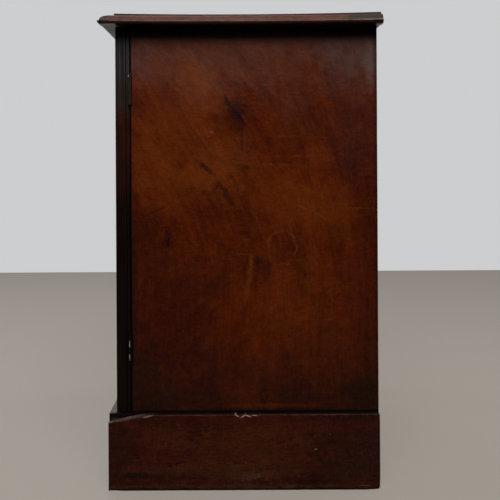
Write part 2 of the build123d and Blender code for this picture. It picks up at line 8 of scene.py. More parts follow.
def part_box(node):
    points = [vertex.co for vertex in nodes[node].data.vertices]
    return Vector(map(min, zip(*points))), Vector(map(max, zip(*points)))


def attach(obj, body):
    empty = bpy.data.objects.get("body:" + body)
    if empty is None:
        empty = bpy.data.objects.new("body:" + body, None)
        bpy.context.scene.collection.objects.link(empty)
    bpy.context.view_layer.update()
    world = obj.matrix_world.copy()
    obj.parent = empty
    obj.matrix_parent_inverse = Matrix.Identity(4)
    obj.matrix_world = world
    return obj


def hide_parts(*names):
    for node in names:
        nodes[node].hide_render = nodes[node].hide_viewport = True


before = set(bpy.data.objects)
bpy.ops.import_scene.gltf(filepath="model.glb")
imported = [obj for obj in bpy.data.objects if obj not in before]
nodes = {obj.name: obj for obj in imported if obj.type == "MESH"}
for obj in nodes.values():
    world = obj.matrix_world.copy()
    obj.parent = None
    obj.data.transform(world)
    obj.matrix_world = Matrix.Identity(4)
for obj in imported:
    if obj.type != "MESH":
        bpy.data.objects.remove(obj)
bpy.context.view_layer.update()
scene = bpy.context.scene
drawerNumbers = range(1, 9)
mm = 0.001


def placed(name, data):
    made = bpy.data.objects.new(name, data)
    scene.collection.objects.link(made)
    return made


# Camera, level and square to the right side, a little above the middle of the panel

viewpoint = {
    "place": (1.529, -0.006, 0.516),
    "roll": math.radians(-0.3),
    "lens": 56.8,
    "shiftX": 0.0257,
    "shiftY": -0.1720,
}
cameraData = bpy.data.cameras.new("camera")
cameraData.lens = viewpoint["lens"]
cameraData.shift_x = viewpoint["shiftX"]
cameraData.shift_y = viewpoint["shiftY"]
camera = placed("camera", cameraData)
camera.matrix_world = (
    Matrix.Translation(viewpoint["place"])
    @ Matrix.Rotation(math.radians(90), 4, "Z")
    @ Matrix.Rotation(math.radians(90), 4, "X")
    @ Matrix.Rotation(viewpoint["roll"], 4, "Z")
)
scene.camera = camera
scene.view_settings.view_transform = "Standard"
print("camera: lens", viewpoint["lens"])


# Small helpers that every material uses: they add to the tree that newGroup or newMaterial made last

def shaderNode(kind, sources=None, **settings):
    made = tree.nodes.new(kind)
    for name, value in settings.items():
        setattr(made, name, value)
    for name, value in (sources or {}).items():
        if isinstance(value, bpy.types.NodeSocket):
            tree.links.new(value, made.inputs[name])
        else:
            made.inputs[name].default_value = value
    return made


def maths(operation, first, second=0.5, clamp=False):
    return shaderNode(
        "ShaderNodeMath", {0: first, 1: second}, operation=operation, use_clamp=clamp
    ).outputs[0]


def plus(first, second, clamp=False):
    return maths("ADD", first, second, clamp)


def minus(first, second, clamp=False):
    return maths("SUBTRACT", first, second, clamp)


def times(product, *factors):
    for factor in factors:
        product = maths("MULTIPLY", product, factor)
    return product


def larger(first, second):
    return maths("MAXIMUM", first, second)


def vectorMaths(operation, first, second):
    return shaderNode("ShaderNodeVectorMath", {0: first, 1: second}, operation=operation).outputs[0]


def scaled(vector, scale):
    return shaderNode("ShaderNodeVectorMath", {0: vector, "Scale": scale}, operation="SCALE").outputs[0]


def axesOf(vector):
    return shaderNode("ShaderNodeSeparateXYZ", {0: vector}).outputs


def vectorOf(x, y, z):
    return shaderNode("ShaderNodeCombineXYZ", {0: x, 1: y, 2: z}).outputs[0]


def soften(value, start, end, low=0.0, high=1.0):
    # a smooth step from low at start to high at end
    return shaderNode(
        "ShaderNodeMapRange", {0: value, 1: start, 2: end, 3: low, 4: high},
        interpolation_type="SMOOTHSTEP",
    ).outputs[0]


def mixColour(factor, first, second, blend="MIX"):
    return shaderNode(
        "ShaderNodeMix", {0: factor, 6: first, 7: second}, data_type="RGBA", blend_type=blend
    ).outputs[2]


def paint(red, green, blue):
    return (red, green, blue, 1.0)


def fineNoise(vector, scale, detail=3.0, roughness=0.55, distortion=0.0):
    values = {"Scale": scale, "Detail": detail, "Roughness": roughness, "Distortion": distortion}
    return shaderNode("ShaderNodeTexNoise", {"Vector": vector, **values}).outputs[0]


def stretched(vector, scales, detail, roughness=0.55, distortion=0.0):
    # noise drawn out along one axis
    vector = vectorMaths("MULTIPLY", vector, scales)
    return fineNoise(vector, 1.0, detail, roughness, distortion)


def blotches(vector, scale, detail, roughness, start, end, low=0.0, high=1.0):
    return soften(fineNoise(vector, scale, detail, roughness), start, end, low, high)


def newGroup(name, takes, gives):
    global tree
    tree = bpy.data.node_groups.new(name, "ShaderNodeTree")
    for label, (kind, value) in takes.items():
        socket = tree.interface.new_socket(label, in_out="INPUT", socket_type="NodeSocket" + kind)
        socket.default_value = value
    for label in gives:
        tree.interface.new_socket(label, in_out="OUTPUT", socket_type="NodeSocketFloat")
    return tree, tree.nodes.new("NodeGroupInput").outputs, tree.nodes.new("NodeGroupOutput").inputs


def useGroup(group, sources):
    return shaderNode("ShaderNodeGroup", sources, node_tree=group).outputs


def newMaterial(name):
    global tree
    material = bpy.data.materials.new(name)
    material.use_nodes = True
    tree = material.node_tree
    return material, tree.nodes["Principled BSDF"]


# Grain of a board whose length runs along Z, in metres

grainGroup, given, wanted = newGroup(
    "wood grain",
    {"Vector": ("Vector", (0, 0, 0)), "Seed": ("Float", 0.0), "Warp": ("Float", 0.012)},
    ("Streaks", "Pores", "Mottle", "Ripple", "Flecks", "Hue"),
)
shifted = vectorOf(given["Seed"], given["Seed"], given["Seed"])
shifted = vectorMaths("ADD", given["Vector"], shifted)
swirl = shaderNode("ShaderNodeTexNoise", {"Vector": shifted, "Scale": 5.0, "Detail": 2.0})
bend = vectorMaths("SUBTRACT", swirl.outputs[1], (0.5, 0.5, 0.5))
flowing = vectorMaths("ADD", shifted, scaled(bend, given["Warp"]))
broad = stretched(flowing, (95, 95, 6), 4.0, 0.6)
hair = stretched(flowing, (430, 430, 34), 3.0, 0.65)
streaks = plus(times(broad, 0.62), times(hair, 0.38))
tree.links.new(soften(streaks, 0.33, 0.67), wanted["Streaks"])
pits = stretched(flowing, (600, 600, 62), 1.5, 0.5)
tree.links.new(soften(pits, 0.58, 0.72), wanted["Pores"])
clouds = stretched(flowing, (15, 15, 9), 6.0, 0.66, 0.9)
tree.links.new(soften(clouds, 0.32, 0.68), wanted["Mottle"])
cross = stretched(flowing, (26, 26, 95), 3.0, 0.6, 1.6)
tree.links.new(soften(cross, 0.34, 0.68), wanted["Ripple"])
# flecks: dots, and short strokes that run along the grain in some places and across it in others
dots = soften(fineNoise(shifted, 290.0, 3.0, 0.7, 1.5), 0.46, 0.63)
along = soften(stretched(shifted, (300, 300, 75), 3.0, 0.7), 0.48, 0.62)
athwart = soften(stretched(shifted, (75, 75, 300), 3.0, 0.7), 0.48, 0.62)
turns = blotches(shifted, 34.0, 3.0, 0.6, 0.44, 0.56)
strokes = plus(times(along, turns), times(athwart, minus(1.0, turns)))
tree.links.new(plus(times(dots, 0.55), times(strokes, 0.45)), wanted["Flecks"])
tree.links.new(blotches(shifted, 95.0, 3.0, 0.65, 0.40, 0.60), wanted["Hue"])


# How near a point on a board is to one of its arrises, with a ragged border

arrisGroup, given, wanted = newGroup(
    "arris",
    {"Vector": ("Vector", (0, 0, 0)), "Low": ("Vector", (0, 0, 0)), "High": ("Vector", (1, 1, 1)),
     "Width": ("Float", 0.002), "Ragged": ("Float", 0.8)},
    ("Edge",),
)
nearest = vectorMaths("MINIMUM", vectorMaths("SUBTRACT", given["Vector"], given["Low"]),
                      vectorMaths("SUBTRACT", given["High"], given["Vector"]))
sides = axesOf(nearest)
# the middle one of the three distances is the distance to the nearest arris
total = plus(plus(sides[0], sides[1]), sides[2])
least = maths("MINIMUM", maths("MINIMUM", sides[0], sides[1]), sides[2])
most = larger(larger(sides[0], sides[1]), sides[2])
middle = minus(minus(total, least), most)
rough = minus(fineNoise(given["Vector"], 95.0, 3.0, 0.6), 0.5)
spread = times(given["Width"], plus(1.0, times(rough, 5.0, given["Ragged"])))
inside = minus(1.0, maths("DIVIDE", middle, larger(spread, 0.00005)), True)
tree.links.new(soften(inside, 0.0, 0.7), wanted["Edge"])


# One soft oval mark on a face that looks along X: a stain, a dent, a pale patch

markGroup, given, wanted = newGroup(
    "mark",
    {"Vector": ("Vector", (0, 0, 0)), "Across": ("Float", 0.0), "Up": ("Float", 0.0),
     "Wide": ("Float", 0.01), "Tall": ("Float", 0.01), "Turn": ("Float", 0.0), "Ragged": ("Float", 0.5),
     "Hollow": ("Float", 0.0)},
    ("Mask",),
)
offset = vectorMaths("SUBTRACT", given["Vector"], vectorOf(0.0, given["Across"], given["Up"]))
turned = shaderNode("ShaderNodeVectorRotate", {"Vector": offset, "Angle": given["Turn"]},
                    rotation_type="X_AXIS").outputs[0]
parts = axesOf(turned)
flat = vectorOf(0.0, maths("DIVIDE", parts[1], given["Wide"]), maths("DIVIDE", parts[2], given["Tall"]))
reach = shaderNode("ShaderNodeVectorMath", {0: flat}, operation="LENGTH").outputs[1]
span = plus(given["Wide"], given["Tall"])
wobble = minus(fineNoise(given["Vector"], maths("DIVIDE", 5.0, span), 5.0, 0.7), 0.5)
reach = plus(reach, times(wobble, 2.6, given["Ragged"]))
blob = soften(reach, 1.25, 0.20)
rim = soften(maths("ABSOLUTE", minus(reach, 1.0)), 0.13, 0.02)
rim = times(rim, blotches(given["Vector"], 42.0, 4.0, 0.7, 0.40, 0.62, 0.1))
mask = plus(times(blob, minus(1.0, given["Hollow"])), times(rim, given["Hollow"]), True)
tree.links.new(mask, wanted["Mask"])


# Dust that lies on faces that look up, and scratches

dustGroup, given, wanted = newGroup(
    "dust and scratches",
    {"Vector": ("Vector", (0, 0, 0)), "Dust": ("Float", 0.3), "Scratches": ("Float", 0.3)},
    ("Dust", "Scratches"),
)
facing = axesOf(shaderNode("ShaderNodeNewGeometry").outputs["Normal"])
settled = times(soften(facing[2], 0.6, 0.98), blotches(given["Vector"], 60.0, 5.0, 0.7, 0.3, 0.75))
tree.links.new(times(settled, given["Dust"]), wanted["Dust"])
slanted = shaderNode("ShaderNodeMapping", {
    "Vector": given["Vector"], "Rotation": (0.5, 0.3, 0.4), "Scale": (260, 260, 14)}).outputs[0]
lines = blotches(slanted, 1.0, 1.0, 0.4, 0.70, 0.78)
patchy = blotches(given["Vector"], 16.0, 2.0, 0.55, 0.48, 0.62)
tree.links.new(times(lines, patchy, given["Scratches"]), wanted["Scratches"])
print("shader groups:", len(bpy.data.node_groups))


# Wood

polished = {
    "light": paint(0.073, 0.0076, 0.0002), "deep": paint(0.0155, 0.0006, 0.0001),
    "pore": paint(0.010, 0.0014, 0.0003), "fleck": paint(0.0250, 0.0082, 0.0012),
    "amber": paint(0.0070, 0.0019, 0.0003), "worn": paint(0.100, 0.036, 0.016),
    "dusty": paint(0.20, 0.15, 0.12), "roughness": 0.38, "specular": 0.07, "edge": 0.0010, "ragged": 0.9,
    "poreDepth": 0.30, "bump": 0.14, "dust": 0.06, "scratches": 0.06, "warp": 0.030, "middle": 0.018,
}
dull = dict(
    polished, light=paint(0.038, 0.0026, 0.0006), deep=paint(0.0065, 0.0002, 0.0002),
    pore=paint(0.002, 0.0006, 0.0004), fleck=paint(0.0190, 0.0095, 0.0038),
    amber=paint(0.0045, 0.0019, 0.0003), worn=paint(0.062, 0.034, 0.025), roughness=0.50, edge=0.0009,
    poreDepth=0.85, dust=0.0, scratches=0.0, middle=0.010,
)
drawerWood = dict(
    polished, light=paint(0.190, 0.052, 0.017), deep=paint(0.100, 0.024, 0.007),
    pore=paint(0.03, 0.009, 0.004), fleck=paint(0.02, 0.008, 0.003), worn=paint(0.030, 0.010, 0.005),
    roughness=0.42, specular=0.30, edge=0.0009,
)
cedar = dict(
    polished, light=paint(0.36, 0.172, 0.085), deep=paint(0.25, 0.103, 0.047),
    pore=paint(0.16, 0.07, 0.035), fleck=paint(0.03, 0.018, 0.010), worn=paint(0.40, 0.22, 0.12),
    dusty=paint(0.3, 0.22, 0.16), roughness=0.72, specular=0.3, edge=0.0006,
)
oak = dict(cedar, light=paint(0.33, 0.20, 0.095), deep=paint(0.23, 0.125, 0.055),
           pore=paint(0.10, 0.05, 0.022))
pine = dict(cedar, light=paint(0.30, 0.165, 0.075), deep=paint(0.20, 0.095, 0.040),
            pore=paint(0.13, 0.055, 0.022), poreDepth=0.25)
# boards without the side's long history of marks are a little warmer by themselves
warm = dict(polished, light=paint(0.082, 0.0145, 0.0012), deep=paint(0.0185, 0.0021, 0.0004))
# boards that meet flush in the door: their joints are dark lines
joined = dict(warm, worn=paint(0.010, 0.0028, 0.0012), edge=0.0007)
# the front of the plinth, where dust lies on the ledge; near the pared corner its pale dust is also painted
# light
ledgeDustAndLight = dict(dull, dust=0.5, dusty=paint(0.16, 0.15, 0.14))

# what all woods share: parts of the grain in the tone, and what it and worn edges do to gloss and relief
grainShares = {
    "streaks": 0.42, "mottle": 0.44, "ripple": 0.14, "uneven": 0.10, "leastFleck": 0.35,
    "edgeCover": 0.75, "edgeRoughness": 0.15, "rippleHeight": 0.3, "fleckHeight": 0.5, "relief": 0.0004,
}


def alongGrain(vector, direction):
    # turns the object's coordinates so that the grain always runs along Z
    if direction == "Z":
        return vector
    parts = axesOf(vector)
    order = {"X": (1, 2, 0), "Y": (0, 2, 1)}[direction]
    return vectorOf(*[parts[number] for number in order])


def woodMaterial(name, node, finish, direction, seed, early=None, late=None, flow=None, share=grainShares):
    # early changes the colour under the pores and worn edges, late changes it over them
    material, shader = newMaterial(name)
    place = shaderNode("ShaderNodeTexCoord").outputs["Object"]
    low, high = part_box(node)
    fibres = flow(place) if flow else alongGrain(place, direction)
    grain = useGroup(grainGroup, {"Vector": fibres, "Seed": seed, "Warp": finish["warp"]})
    edge = useGroup(arrisGroup, {"Vector": place, "Low": low, "High": high, "Width": finish["edge"],
                                 "Ragged": finish["ragged"]})["Edge"]
    wear = useGroup(dustGroup, {"Vector": place, "Dust": finish["dust"],
                                "Scratches": finish["scratches"]})
    tone = plus(times(grain["Streaks"], share["streaks"]), times(grain["Mottle"], share["mottle"]))
    tone = plus(tone, times(grain["Ripple"], share["ripple"]), True)
    colour = mixColour(tone, finish["deep"], finish["light"])
    uneven = times(grain["Mottle"], share["uneven"])
    roughness = plus(finish["roughness"] - share["uneven"] / 2, uneven)
    if early:
        colour, roughness = early(place, colour, roughness)
    colour = mixColour(times(grain["Pores"], finish["poreDepth"]), colour, finish["pore"])
    # flecks are weaker where the wood is dark
    brightness = shaderNode("ShaderNodeRGBToBW", {0: colour}).outputs[0]
    brightness = times(brightness, (1 - share["leastFleck"]) / finish["middle"])
    strength = plus(share["leastFleck"], brightness, True)
    colour = mixColour(times(grain["Flecks"], strength), colour, finish["fleck"], "ADD")
    colour = mixColour(times(grain["Hue"], strength), colour, finish["amber"], "ADD")
    colour = mixColour(times(edge, share["edgeCover"]), colour, finish["worn"])
    colour = mixColour(wear["Scratches"], colour, finish["worn"])
    colour = mixColour(wear["Dust"], colour, finish["dusty"])
    roughness = plus(roughness, times(edge, share["edgeRoughness"]), True)
    if late:
        colour, roughness = late(place, colour, roughness)
    height = plus(times(grain["Ripple"], share["rippleHeight"]),
                  minus(times(grain["Flecks"], share["fleckHeight"]), grain["Pores"]))
    bump = shaderNode("ShaderNodeBump",
                      {"Strength": finish["bump"], "Distance": share["relief"], "Height": height})
    tree.links.new(colour, shader.inputs["Base Color"])
    tree.links.new(roughness, shader.inputs["Roughness"])
    tree.links.new(bump.outputs[0], shader.inputs["Normal"])
    shader.inputs["Specular IOR Level"].default_value = finish["specular"]
    return material


def dress(piece, material):
    piece.data.materials.clear()
    piece.data.materials.append(material)


# Meshes with hand-worn arrises: copies of the CAD meshes, cut fine along their edges

meshCuts = {
    "weld": 0.00002, "snap": 0.00001, "flat": math.radians(0.5),
    "nearEdge": (0.35 * mm, 0.8 * mm, 1.5 * mm, 2.6 * mm, 4.5 * mm),
    "edgeZone": 0.0045, "mostOfHalf": 0.45,
}


def cleanShape(node, cuts=meshCuts):
    shape = bmesh.new()
    shape.from_mesh(nodes[node].data)
    bmesh.ops.remove_doubles(shape, verts=shape.verts, dist=cuts["weld"])
    bmesh.ops.dissolve_limit(shape, angle_limit=cuts["flat"], verts=shape.verts, edges=shape.edges)
    return shape


def cutPlaces(low, high, step, cuts=meshCuts):
    length = high - low
    zone = cuts["edgeZone"]
    near = [offset for offset in cuts["nearEdge"] if offset < length * cuts["mostOfHalf"]]
    places = [low + offset for offset in near] + [high - offset for offset in near]
    count = int((length - 2 * zone) / step)
    places += [low + zone + (length - 2 * zone) * i / count for i in range(1, count)]
    return sorted(places)


def cutAcross(shape, axis, places, cuts=meshCuts):
    normal = Vector((0, 0, 0))
    normal[axis] = 1
    for place in places:
        point = Vector((0, 0, 0))
        point[axis] = place
        bmesh.ops.bisect_plane(shape, geom=shape.verts[:] + shape.edges[:] + shape.faces[:],
                               dist=cuts["snap"], plane_co=point, plane_no=normal)


def finishedPiece(shape, name, node, body, sharpFrom):
    mesh = bpy.data.meshes.new(name)
    shape.to_mesh(mesh)
    shape.free()
    piece = placed(name, mesh)
    for face in mesh.polygons:
        face.use_smooth = True
    mesh.set_sharp_from_angle(angle=math.radians(sharpFrom))
    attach(piece, body)
    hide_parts(node)
    return piece


def wornRadius(point, wear):
    # the radius wanders along an arris, and is larger where a chip has come off
    radius = wear["radius"] * (0.55 + 0.9 * abs(noise.noise(point * 55 + Vector((wear["seed"], 0, 0)))))
    for centre, reach, extra in wear.get("chips", ()):
        away = (point - Vector(centre)).length / reach
        if away < 1:
            ragged = 1 + 0.5 * noise.noise(point * 600)
            radius += extra * ragged * (1 - away * away)
    return radius


def agedBoard(node, body, wear):
    low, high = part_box(node)
    shape = cleanShape(node)
    for axis in range(3):
        extraCuts = list(wear.get("cuts", {}).get(axis, ()))
        cutAcross(shape, axis, cutPlaces(low[axis], high[axis], wear["step"]) + extraCuts)
    thickest = (high - low)[wear["thin"]] * meshCuts["mostOfHalf"]
    for vertex in shape.verts:
        point = vertex.co.copy()
        radius = min(wornRadius(point, wear), thickest)
        core = Vector([min(max(point[i], low[i] + radius), high[i] - radius) for i in range(3)])
        away = point - core
        if away.length > 1e-7:
            vertex.co = core + away * (max(abs(a) for a in away) / away.length)
    if "shape" in wear:
        for vertex in shape.verts:
            wear["shape"](vertex.co)
    shape.normal_update()
    for vertex in shape.verts:
        hollow = wear["wave"] * (0.5 + 0.5 * noise.noise(vertex.co * 9 + Vector((0, wear["seed"], 0))))
        vertex.co -= vertex.normal * hollow
    return finishedPiece(shape, "aged_" + node, node, body, 38)


# Right side panel, the side that shows its long history of polish and knocks

rightSide = {
    "wear": {"radius": 1.1 * mm, "step": 0.007, "wave": 0.25 * mm, "seed": 3.0, "thin": 0},
    "marks": (
        # across, up, wide, tall, turn, ragged, hollow, strength, colour
        # broad light and dark clouds of the figure
        (-0.11, 0.565, 0.085, 0.07, -0.4, 0.8, 0, 0.25, (0.135, 0.027, 0.003)),
        (-0.06, 0.505, 0.05, 0.038, -0.5, 0.9, 0, 0.32, (0.14, 0.029, 0.004)),
        (-0.145, 0.505, 0.045, 0.075, -0.3, 0.8, 0, 0.21, (0.135, 0.026, 0.003)),
        (-0.105, 0.48, 0.06, 0.045, 0.3, 0.8, 0, 0.22, (0.13, 0.025, 0.002)),
        (0.08, 0.461, 0.1, 0.055, 0.2, 0.9, 0, 0.26, (0.125, 0.023, 0.001)),
        (0.14, 0.42, 0.075, 0.065, 0, 0.9, 0, 0.2, (0.115, 0.02, 0.001)),
        (0.07, 0.305, 0.085, 0.06, 0.3, 0.9, 0, 0.19, (0.122, 0.0225, 0.001)),
        (0.1, 0.24, 0.1, 0.065, 0, 0.9, 0, 0.15, (0.108, 0.019, 0.001)),
        (-0.005, 0.53, 0.022, 0.052, -0.1, 0.9, 0, 0.26, (0.02, 0.004, 0.001)),
        (-0.148, 0.41, 0.022, 0.045, 0.2, 0.9, 0, 0.55, (0.016, 0.0022, 0.0006)),
        (-0.12, 0.35, 0.07, 0.04, 0.2, 0.9, 0, 0.42, (0.02, 0.0024, 0.0006)),
        (-0.125, 0.395, 0.032, 0.032, 0, 0.9, 0, 0.32, (0.018, 0.0024, 0.0006)),
        (-0.13, 0.2, 0.06, 0.05, 0, 0.9, 0, 0.34, (0.018, 0.003, 0.001)),
        (0.16, 0.65, 0.048, 0.034, 0, 0.9, 0, 0.44, (0.026, 0.0062, 0.0056)),
        (0.165, 0.462, 0.026, 0.016, 0, 0.9, 0, 0.3, (0.026, 0.006, 0.002)),
        (0.16, 0.238, 0.036, 0.032, 0, 0.9, 0, 0.24, (0.02, 0.004, 0.001)),
        (0.207, 0.19, 0.014, 0.065, 0, 0.8, 0, 0.5, (0.012, 0.004, 0.002)),
        (-0.064, 0.65, 0.036, 0.06, -0.55, 0.9, 0, 0.38, (0.15, 0.034, 0.004)),
        (-0.018, 0.535, 0.05, 0.045, -0.3, 0.9, 0, 0.24, (0.13, 0.029, 0.003)),
        (-0.02, 0.478, 0.03, 0.026, 0.2, 0.9, 0, 0.22, (0.13, 0.028, 0.003)),
        (0.128, 0.53, 0.024, 0.018, 0, 0.9, 0, 0.2, (0.13, 0.027, 0.003)),
        (0.104, 0.356, 0.02, 0.024, 0.3, 0.9, 0, 0.18, (0.115, 0.019, 0.002)),
        # a grey patch in the upper rear corner
        (0.208, 0.695, 0.012, 0.06, 0, 0.8, 0, 0.55, (0.08, 0.066, 0.066)),
        # redder and darker places at the front, the rear and between the clouds
        (-0.112, 0.255, 0.085, 0.11, 0.2, 0.8, 0, 0.72, (0.018, 0.001, 0.0008)),
        (0.185, 0.56, 0.055, 0.09, 0, 0.8, 0, 0.62, (0.025, 0.0046, 0.0048)),
        (0.2, 0.33, 0.04, 0.15, 0, 0.9, 0, 0.42, (0.022, 0.0016, 0.0014)),
        (0.11, 0.575, 0.07, 0.035, -0.3, 0.9, 0, 0.36, (0.026, 0.005, 0.0015)),
        # strokes that lean with the grain
        (-0.101, 0.636, 0.0022, 0.017, -0.82, 1.4, 0, 0.2, (0.15, 0.055, 0.02)),
        (-0.0666, 0.557, 0.0022, 0.032, -0.61, 0.8, 0, 0.45, (0.02, 0.004, 0.001)),
        (-0.063, 0.5585, 0.0018, 0.03, -0.61, 1.5, 0, 0.15, (0.15, 0.048, 0.012)),
        (-0.058, 0.511, 0.0045, 0.026, -0.84, 0.9, 0, 0.8, (0.012, 0.0008, 0.002)),
        (-0.023, 0.467, 0.006, 0.03, -0.62, 0.9, 0, 0.76, (0.013, 0.0008, 0.0018)),
        (0.01, 0.414, 0.008, 0.04, -0.3, 0.9, 0, 0.34, (0.018, 0.003, 0.001)),
        (-0.03, 0.51, 0.0025, 0.04, -0.6, 1.3, 0, 0.12, (0.14, 0.04, 0.01)),
        (0.01, 0.65, 0.004, 0.04, -0.8, 1.5, 0, 0.14, (0.13, 0.056, 0.034)),
        (0.06, 0.625, 0.004, 0.036, -0.95, 1.5, 0, 0.12, (0.12, 0.05, 0.028)),
        # the stain, the ring, strokes and pale lines below it
        (-0.006, 0.597, 0.012, 0.026, -0.62, 1.1, 0, 0.92, (0.0125, 0.0016, 0.0036)),
        (-0.0215, 0.616, 0.0038, 0.015, -0.35, 0.5, 0, 0.98, (0.002, 0.0001, 0.0012)),
        (-0.0055, 0.595, 0.0036, 0.02, -0.7, 1.1, 0, 0.9, (0.006, 0.0005, 0.002)),
        (0.005, 0.59, 0.002, 0.012, -0.6, 1.4, 0, 0.1, (0.08, 0.036, 0.03)),
        (0.002, 0.55, 0.002, 0.018, -0.03, 0.8, 0, 0.6, (0.014, 0.003, 0.002)),
        (0.0062, 0.548, 0.0018, 0.015, -0.03, 1.4, 0, 0.22, (0.12, 0.036, 0.01)),
        (0.065, 0.3826, 0.0225, 0.027, 0, 0.34, 1, 0.24, (0.18, 0.055, 0.018)),
        (0.064, 0.383, 0.0208, 0.025, 0, 0.25, 1, 0.2, (0.022, 0.004, 0.001)),
        # pale arcs above the ring, lines across the figure
        (0.0983, 0.4461, 0.015, 0.0016, 0.4, 1.6, 0, 0.26, (0.16, 0.05, 0.018)),
        (0.1237, 0.434, 0.011, 0.0018, 0.5, 1.5, 0, 0.22, (0.165, 0.052, 0.02)),
        (0.108, 0.472, 0.008, 0.005, 0.7, 1.5, 0, 0.14, (0.16, 0.05, 0.016)),
        (0.186, 0.4449, 0.03, 0.002, 0.02, 1.3, 0, 0.2, (0.115, 0.032, 0.006)),
        (0.202, 0.4304, 0.014, 0.0022, 0.02, 0.8, 0, 0.6, (0.014, 0.003, 0.001)),
        (0.13, 0.505, 0.026, 0.0022, 0.03, 0.9, 0, 0.4, (0.02, 0.004, 0.001)),
        (0.05, 0.515, 0.038, 0.0022, 0.02, 1.7, 0, 0.16, (0.135, 0.034, 0.005)),
        (0.085, 0.528, 0.042, 0.0024, -0.02, 1.7, 0, 0.14, (0.135, 0.034, 0.005)),
        (0.07, 0.56, 0.038, 0.0024, 0.03, 1.7, 0, 0.14, (0.125, 0.032, 0.005)),
        (-0.143, 0.4774, 0.015, 0.0014, 0, 0.8, 0, 0.6, (0.016, 0.003, 0.001)),
        (-0.084, 0.4774, 0.013, 0.0013, 0, 0.8, 0, 0.55, (0.016, 0.003, 0.001)),
        (-0.148, 0.463, 0.014, 0.0016, 0.3, 0.9, 0, 0.5, (0.016, 0.003, 0.001)),
        (-0.128, 0.445, 0.013, 0.0016, -0.5, 0.9, 0, 0.55, (0.014, 0.003, 0.001)),
        (-0.118, 0.3952, 0.0075, 0.024, 0.1, 0.9, 0, 0.8, (0.008, 0.0004, 0.001)),
        (0.026, 0.361, 0.008, 0.008, 0.2, 1, 0, 0.8, (0.011, 0.0008, 0.0014)),
        (0.093, 0.279, 0.024, 0.0018, -0.35, 1.6, 0, 0.2, (0.125, 0.034, 0.008)),
        (0.096, 0.269, 0.02, 0.0016, 0.1, 1.6, 0, 0.18, (0.125, 0.034, 0.008)),
        (0.0154, 0.3593, 0.0038, 0.016, 0.05, 1.2, 0, 0.28, (0.155, 0.04, 0.006)),
        (0.008, 0.3145, 0.0065, 0.037, 0.2, 1.3, 0, 0.26, (0.135, 0.03, 0.003)),
        (0.0035, 0.372, 0.019, 0.0018, 0.06, 0.9, 0, 0.22, (0.14, 0.04, 0.008)),
        (0.0356, 0.3466, 0.018, 0.027, -0.2, 1, 0, 0.66, (0.015, 0.001, 0.0012)),
        (-0.048, 0.318, 0.015, 0.02, 0.2, 0.9, 0, 0.5, (0.016, 0.003, 0.001)),
        (0.1074, 0.328, 0.015, 0.011, 0.4, 1.2, 0, 0.16, (0.14, 0.03, 0.004)),
        # nicks, specks and bare spots
        (-0.0467, 0.567, 0.0036, 0.0014, 0.3, 0.5, 0, 0.6, (0.15, 0.05, 0.045)),
        (-0.052, 0.56, 0.002, 0.0012, -0.3, 0.5, 0, 0.5, (0.14, 0.05, 0.04)),
        (0.123, 0.28, 0.0026, 0.0026, 0, 0.4, 0, 0.85, (0.006, 0.002, 0.001)),
        (0.1707, 0.219, 0.0026, 0.0024, 0, 0.4, 0, 0.85, (0.006, 0.002, 0.001)),
        (0.075, 0.2415, 0.0028, 0.0022, 0, 0.4, 0, 0.8, (0.006, 0.002, 0.001)),
        (0.094, 0.1925, 0.007, 0.002, 0.2, 0.6, 0, 0.75, (0.006, 0.002, 0.001)),
        (0.0754, 0.2038, 0.013, 0.015, 0, 0.9, 0, 0.42, (0.014, 0.005, 0.003)),
    ),
    "foot": (
        # dark streaks and patches near the foot, and painted warm light that the ledge throws back
        (0.1, 0.1478, 0.06, 0.0022, 0.02, 0.7, 0, 0.6, (0.004, 0.0014, 0.001)),
        (0.06, 0.1545, 0.05, 0.0016, -0.01, 0.8, 0, 0.4, (0.005, 0.0015, 0.001)),
        (0.13, 0.142, 0.07, 0.0016, 0.01, 0.8, 0, 0.5, (0.006, 0.0016, 0.001)),
        (-0.06, 0.15, 0.04, 0.003, 0.02, 0.8, 0, 0.45, (0.005, 0.0015, 0.001)),
        (0.196, 0.15, 0.038, 0.036, 0, 0.8, 0, 0.72, (0.003, 0.0022, 0.0012)),
        (-0.14, 0.142, 0.07, 0.024, 0, 0.8, 0, 0.62, (0.006, 0.002, 0.0012)),
        (-0.155, 0.185, 0.034, 0.062, 0, 0.8, 0, 0.64, (0.008, 0.002, 0.001)),
        (0.045, 0.1305, 0.085, 0.004, 0, 0.5, 0, 0.7, (0.052, 0.0062, 0.0004)),
        (0.008, 0.148, 0.022, 0.02, 0, 0.6, 0, 0.6, (0.044, 0.0052, 0.0006)),
    ),
    # painted sheen towards the top, dirt and painted shade towards the bottom, painted shade along the edges
    "paintedSheen": paint(0.075, 0.033, 0.0245), "paintedCornerSheen": paint(0.052, 0.033, 0.031),
    "grimeAndShade": paint(0.0066, 0.0014, 0.0013), "shade": paint(0.0006, 0.0002, 0.0002),
    # borders, each from where it starts to where it ends: heights first
    "paintedSheenHeight": (0.58, 0.71), "rearHeight": (0.58, 0.72), "frontHeight": (0.61, 0.70),
    "footHeight": (0.25, 0.12), "endHeight": (0.50, 0.38), "topShade": (0.700, 0.729),
    "footShade": (0.1245, 0.1225),
    # then places from front to back, and the outer face
    "rearPaintedSheen": (0.05, 0.20), "frontPaintedSheen": (-0.120, -0.170), "frontEnd": (-0.160, -0.171),
    "rearEnd": (0.208, 0.216), "frontShade": (-0.1738, -0.1750), "outside": (0.2660, 0.2685),
}
markBatch = 20


def leaningGrain(vector):
    # the panel is cut near a fork of the trunk: high up, its grain leans forward
    parts = axesOf(vector)
    rise = larger(minus(parts[2], 0.34), 0.0)
    lean = maths("DIVIDE", times(rise, rise), plus(rise, 0.08))
    share = soften(parts[1], -0.15, 0.22, 0.60, 0.25)
    return vectorOf(parts[0], plus(parts[1], times(lean, share)), parts[2])


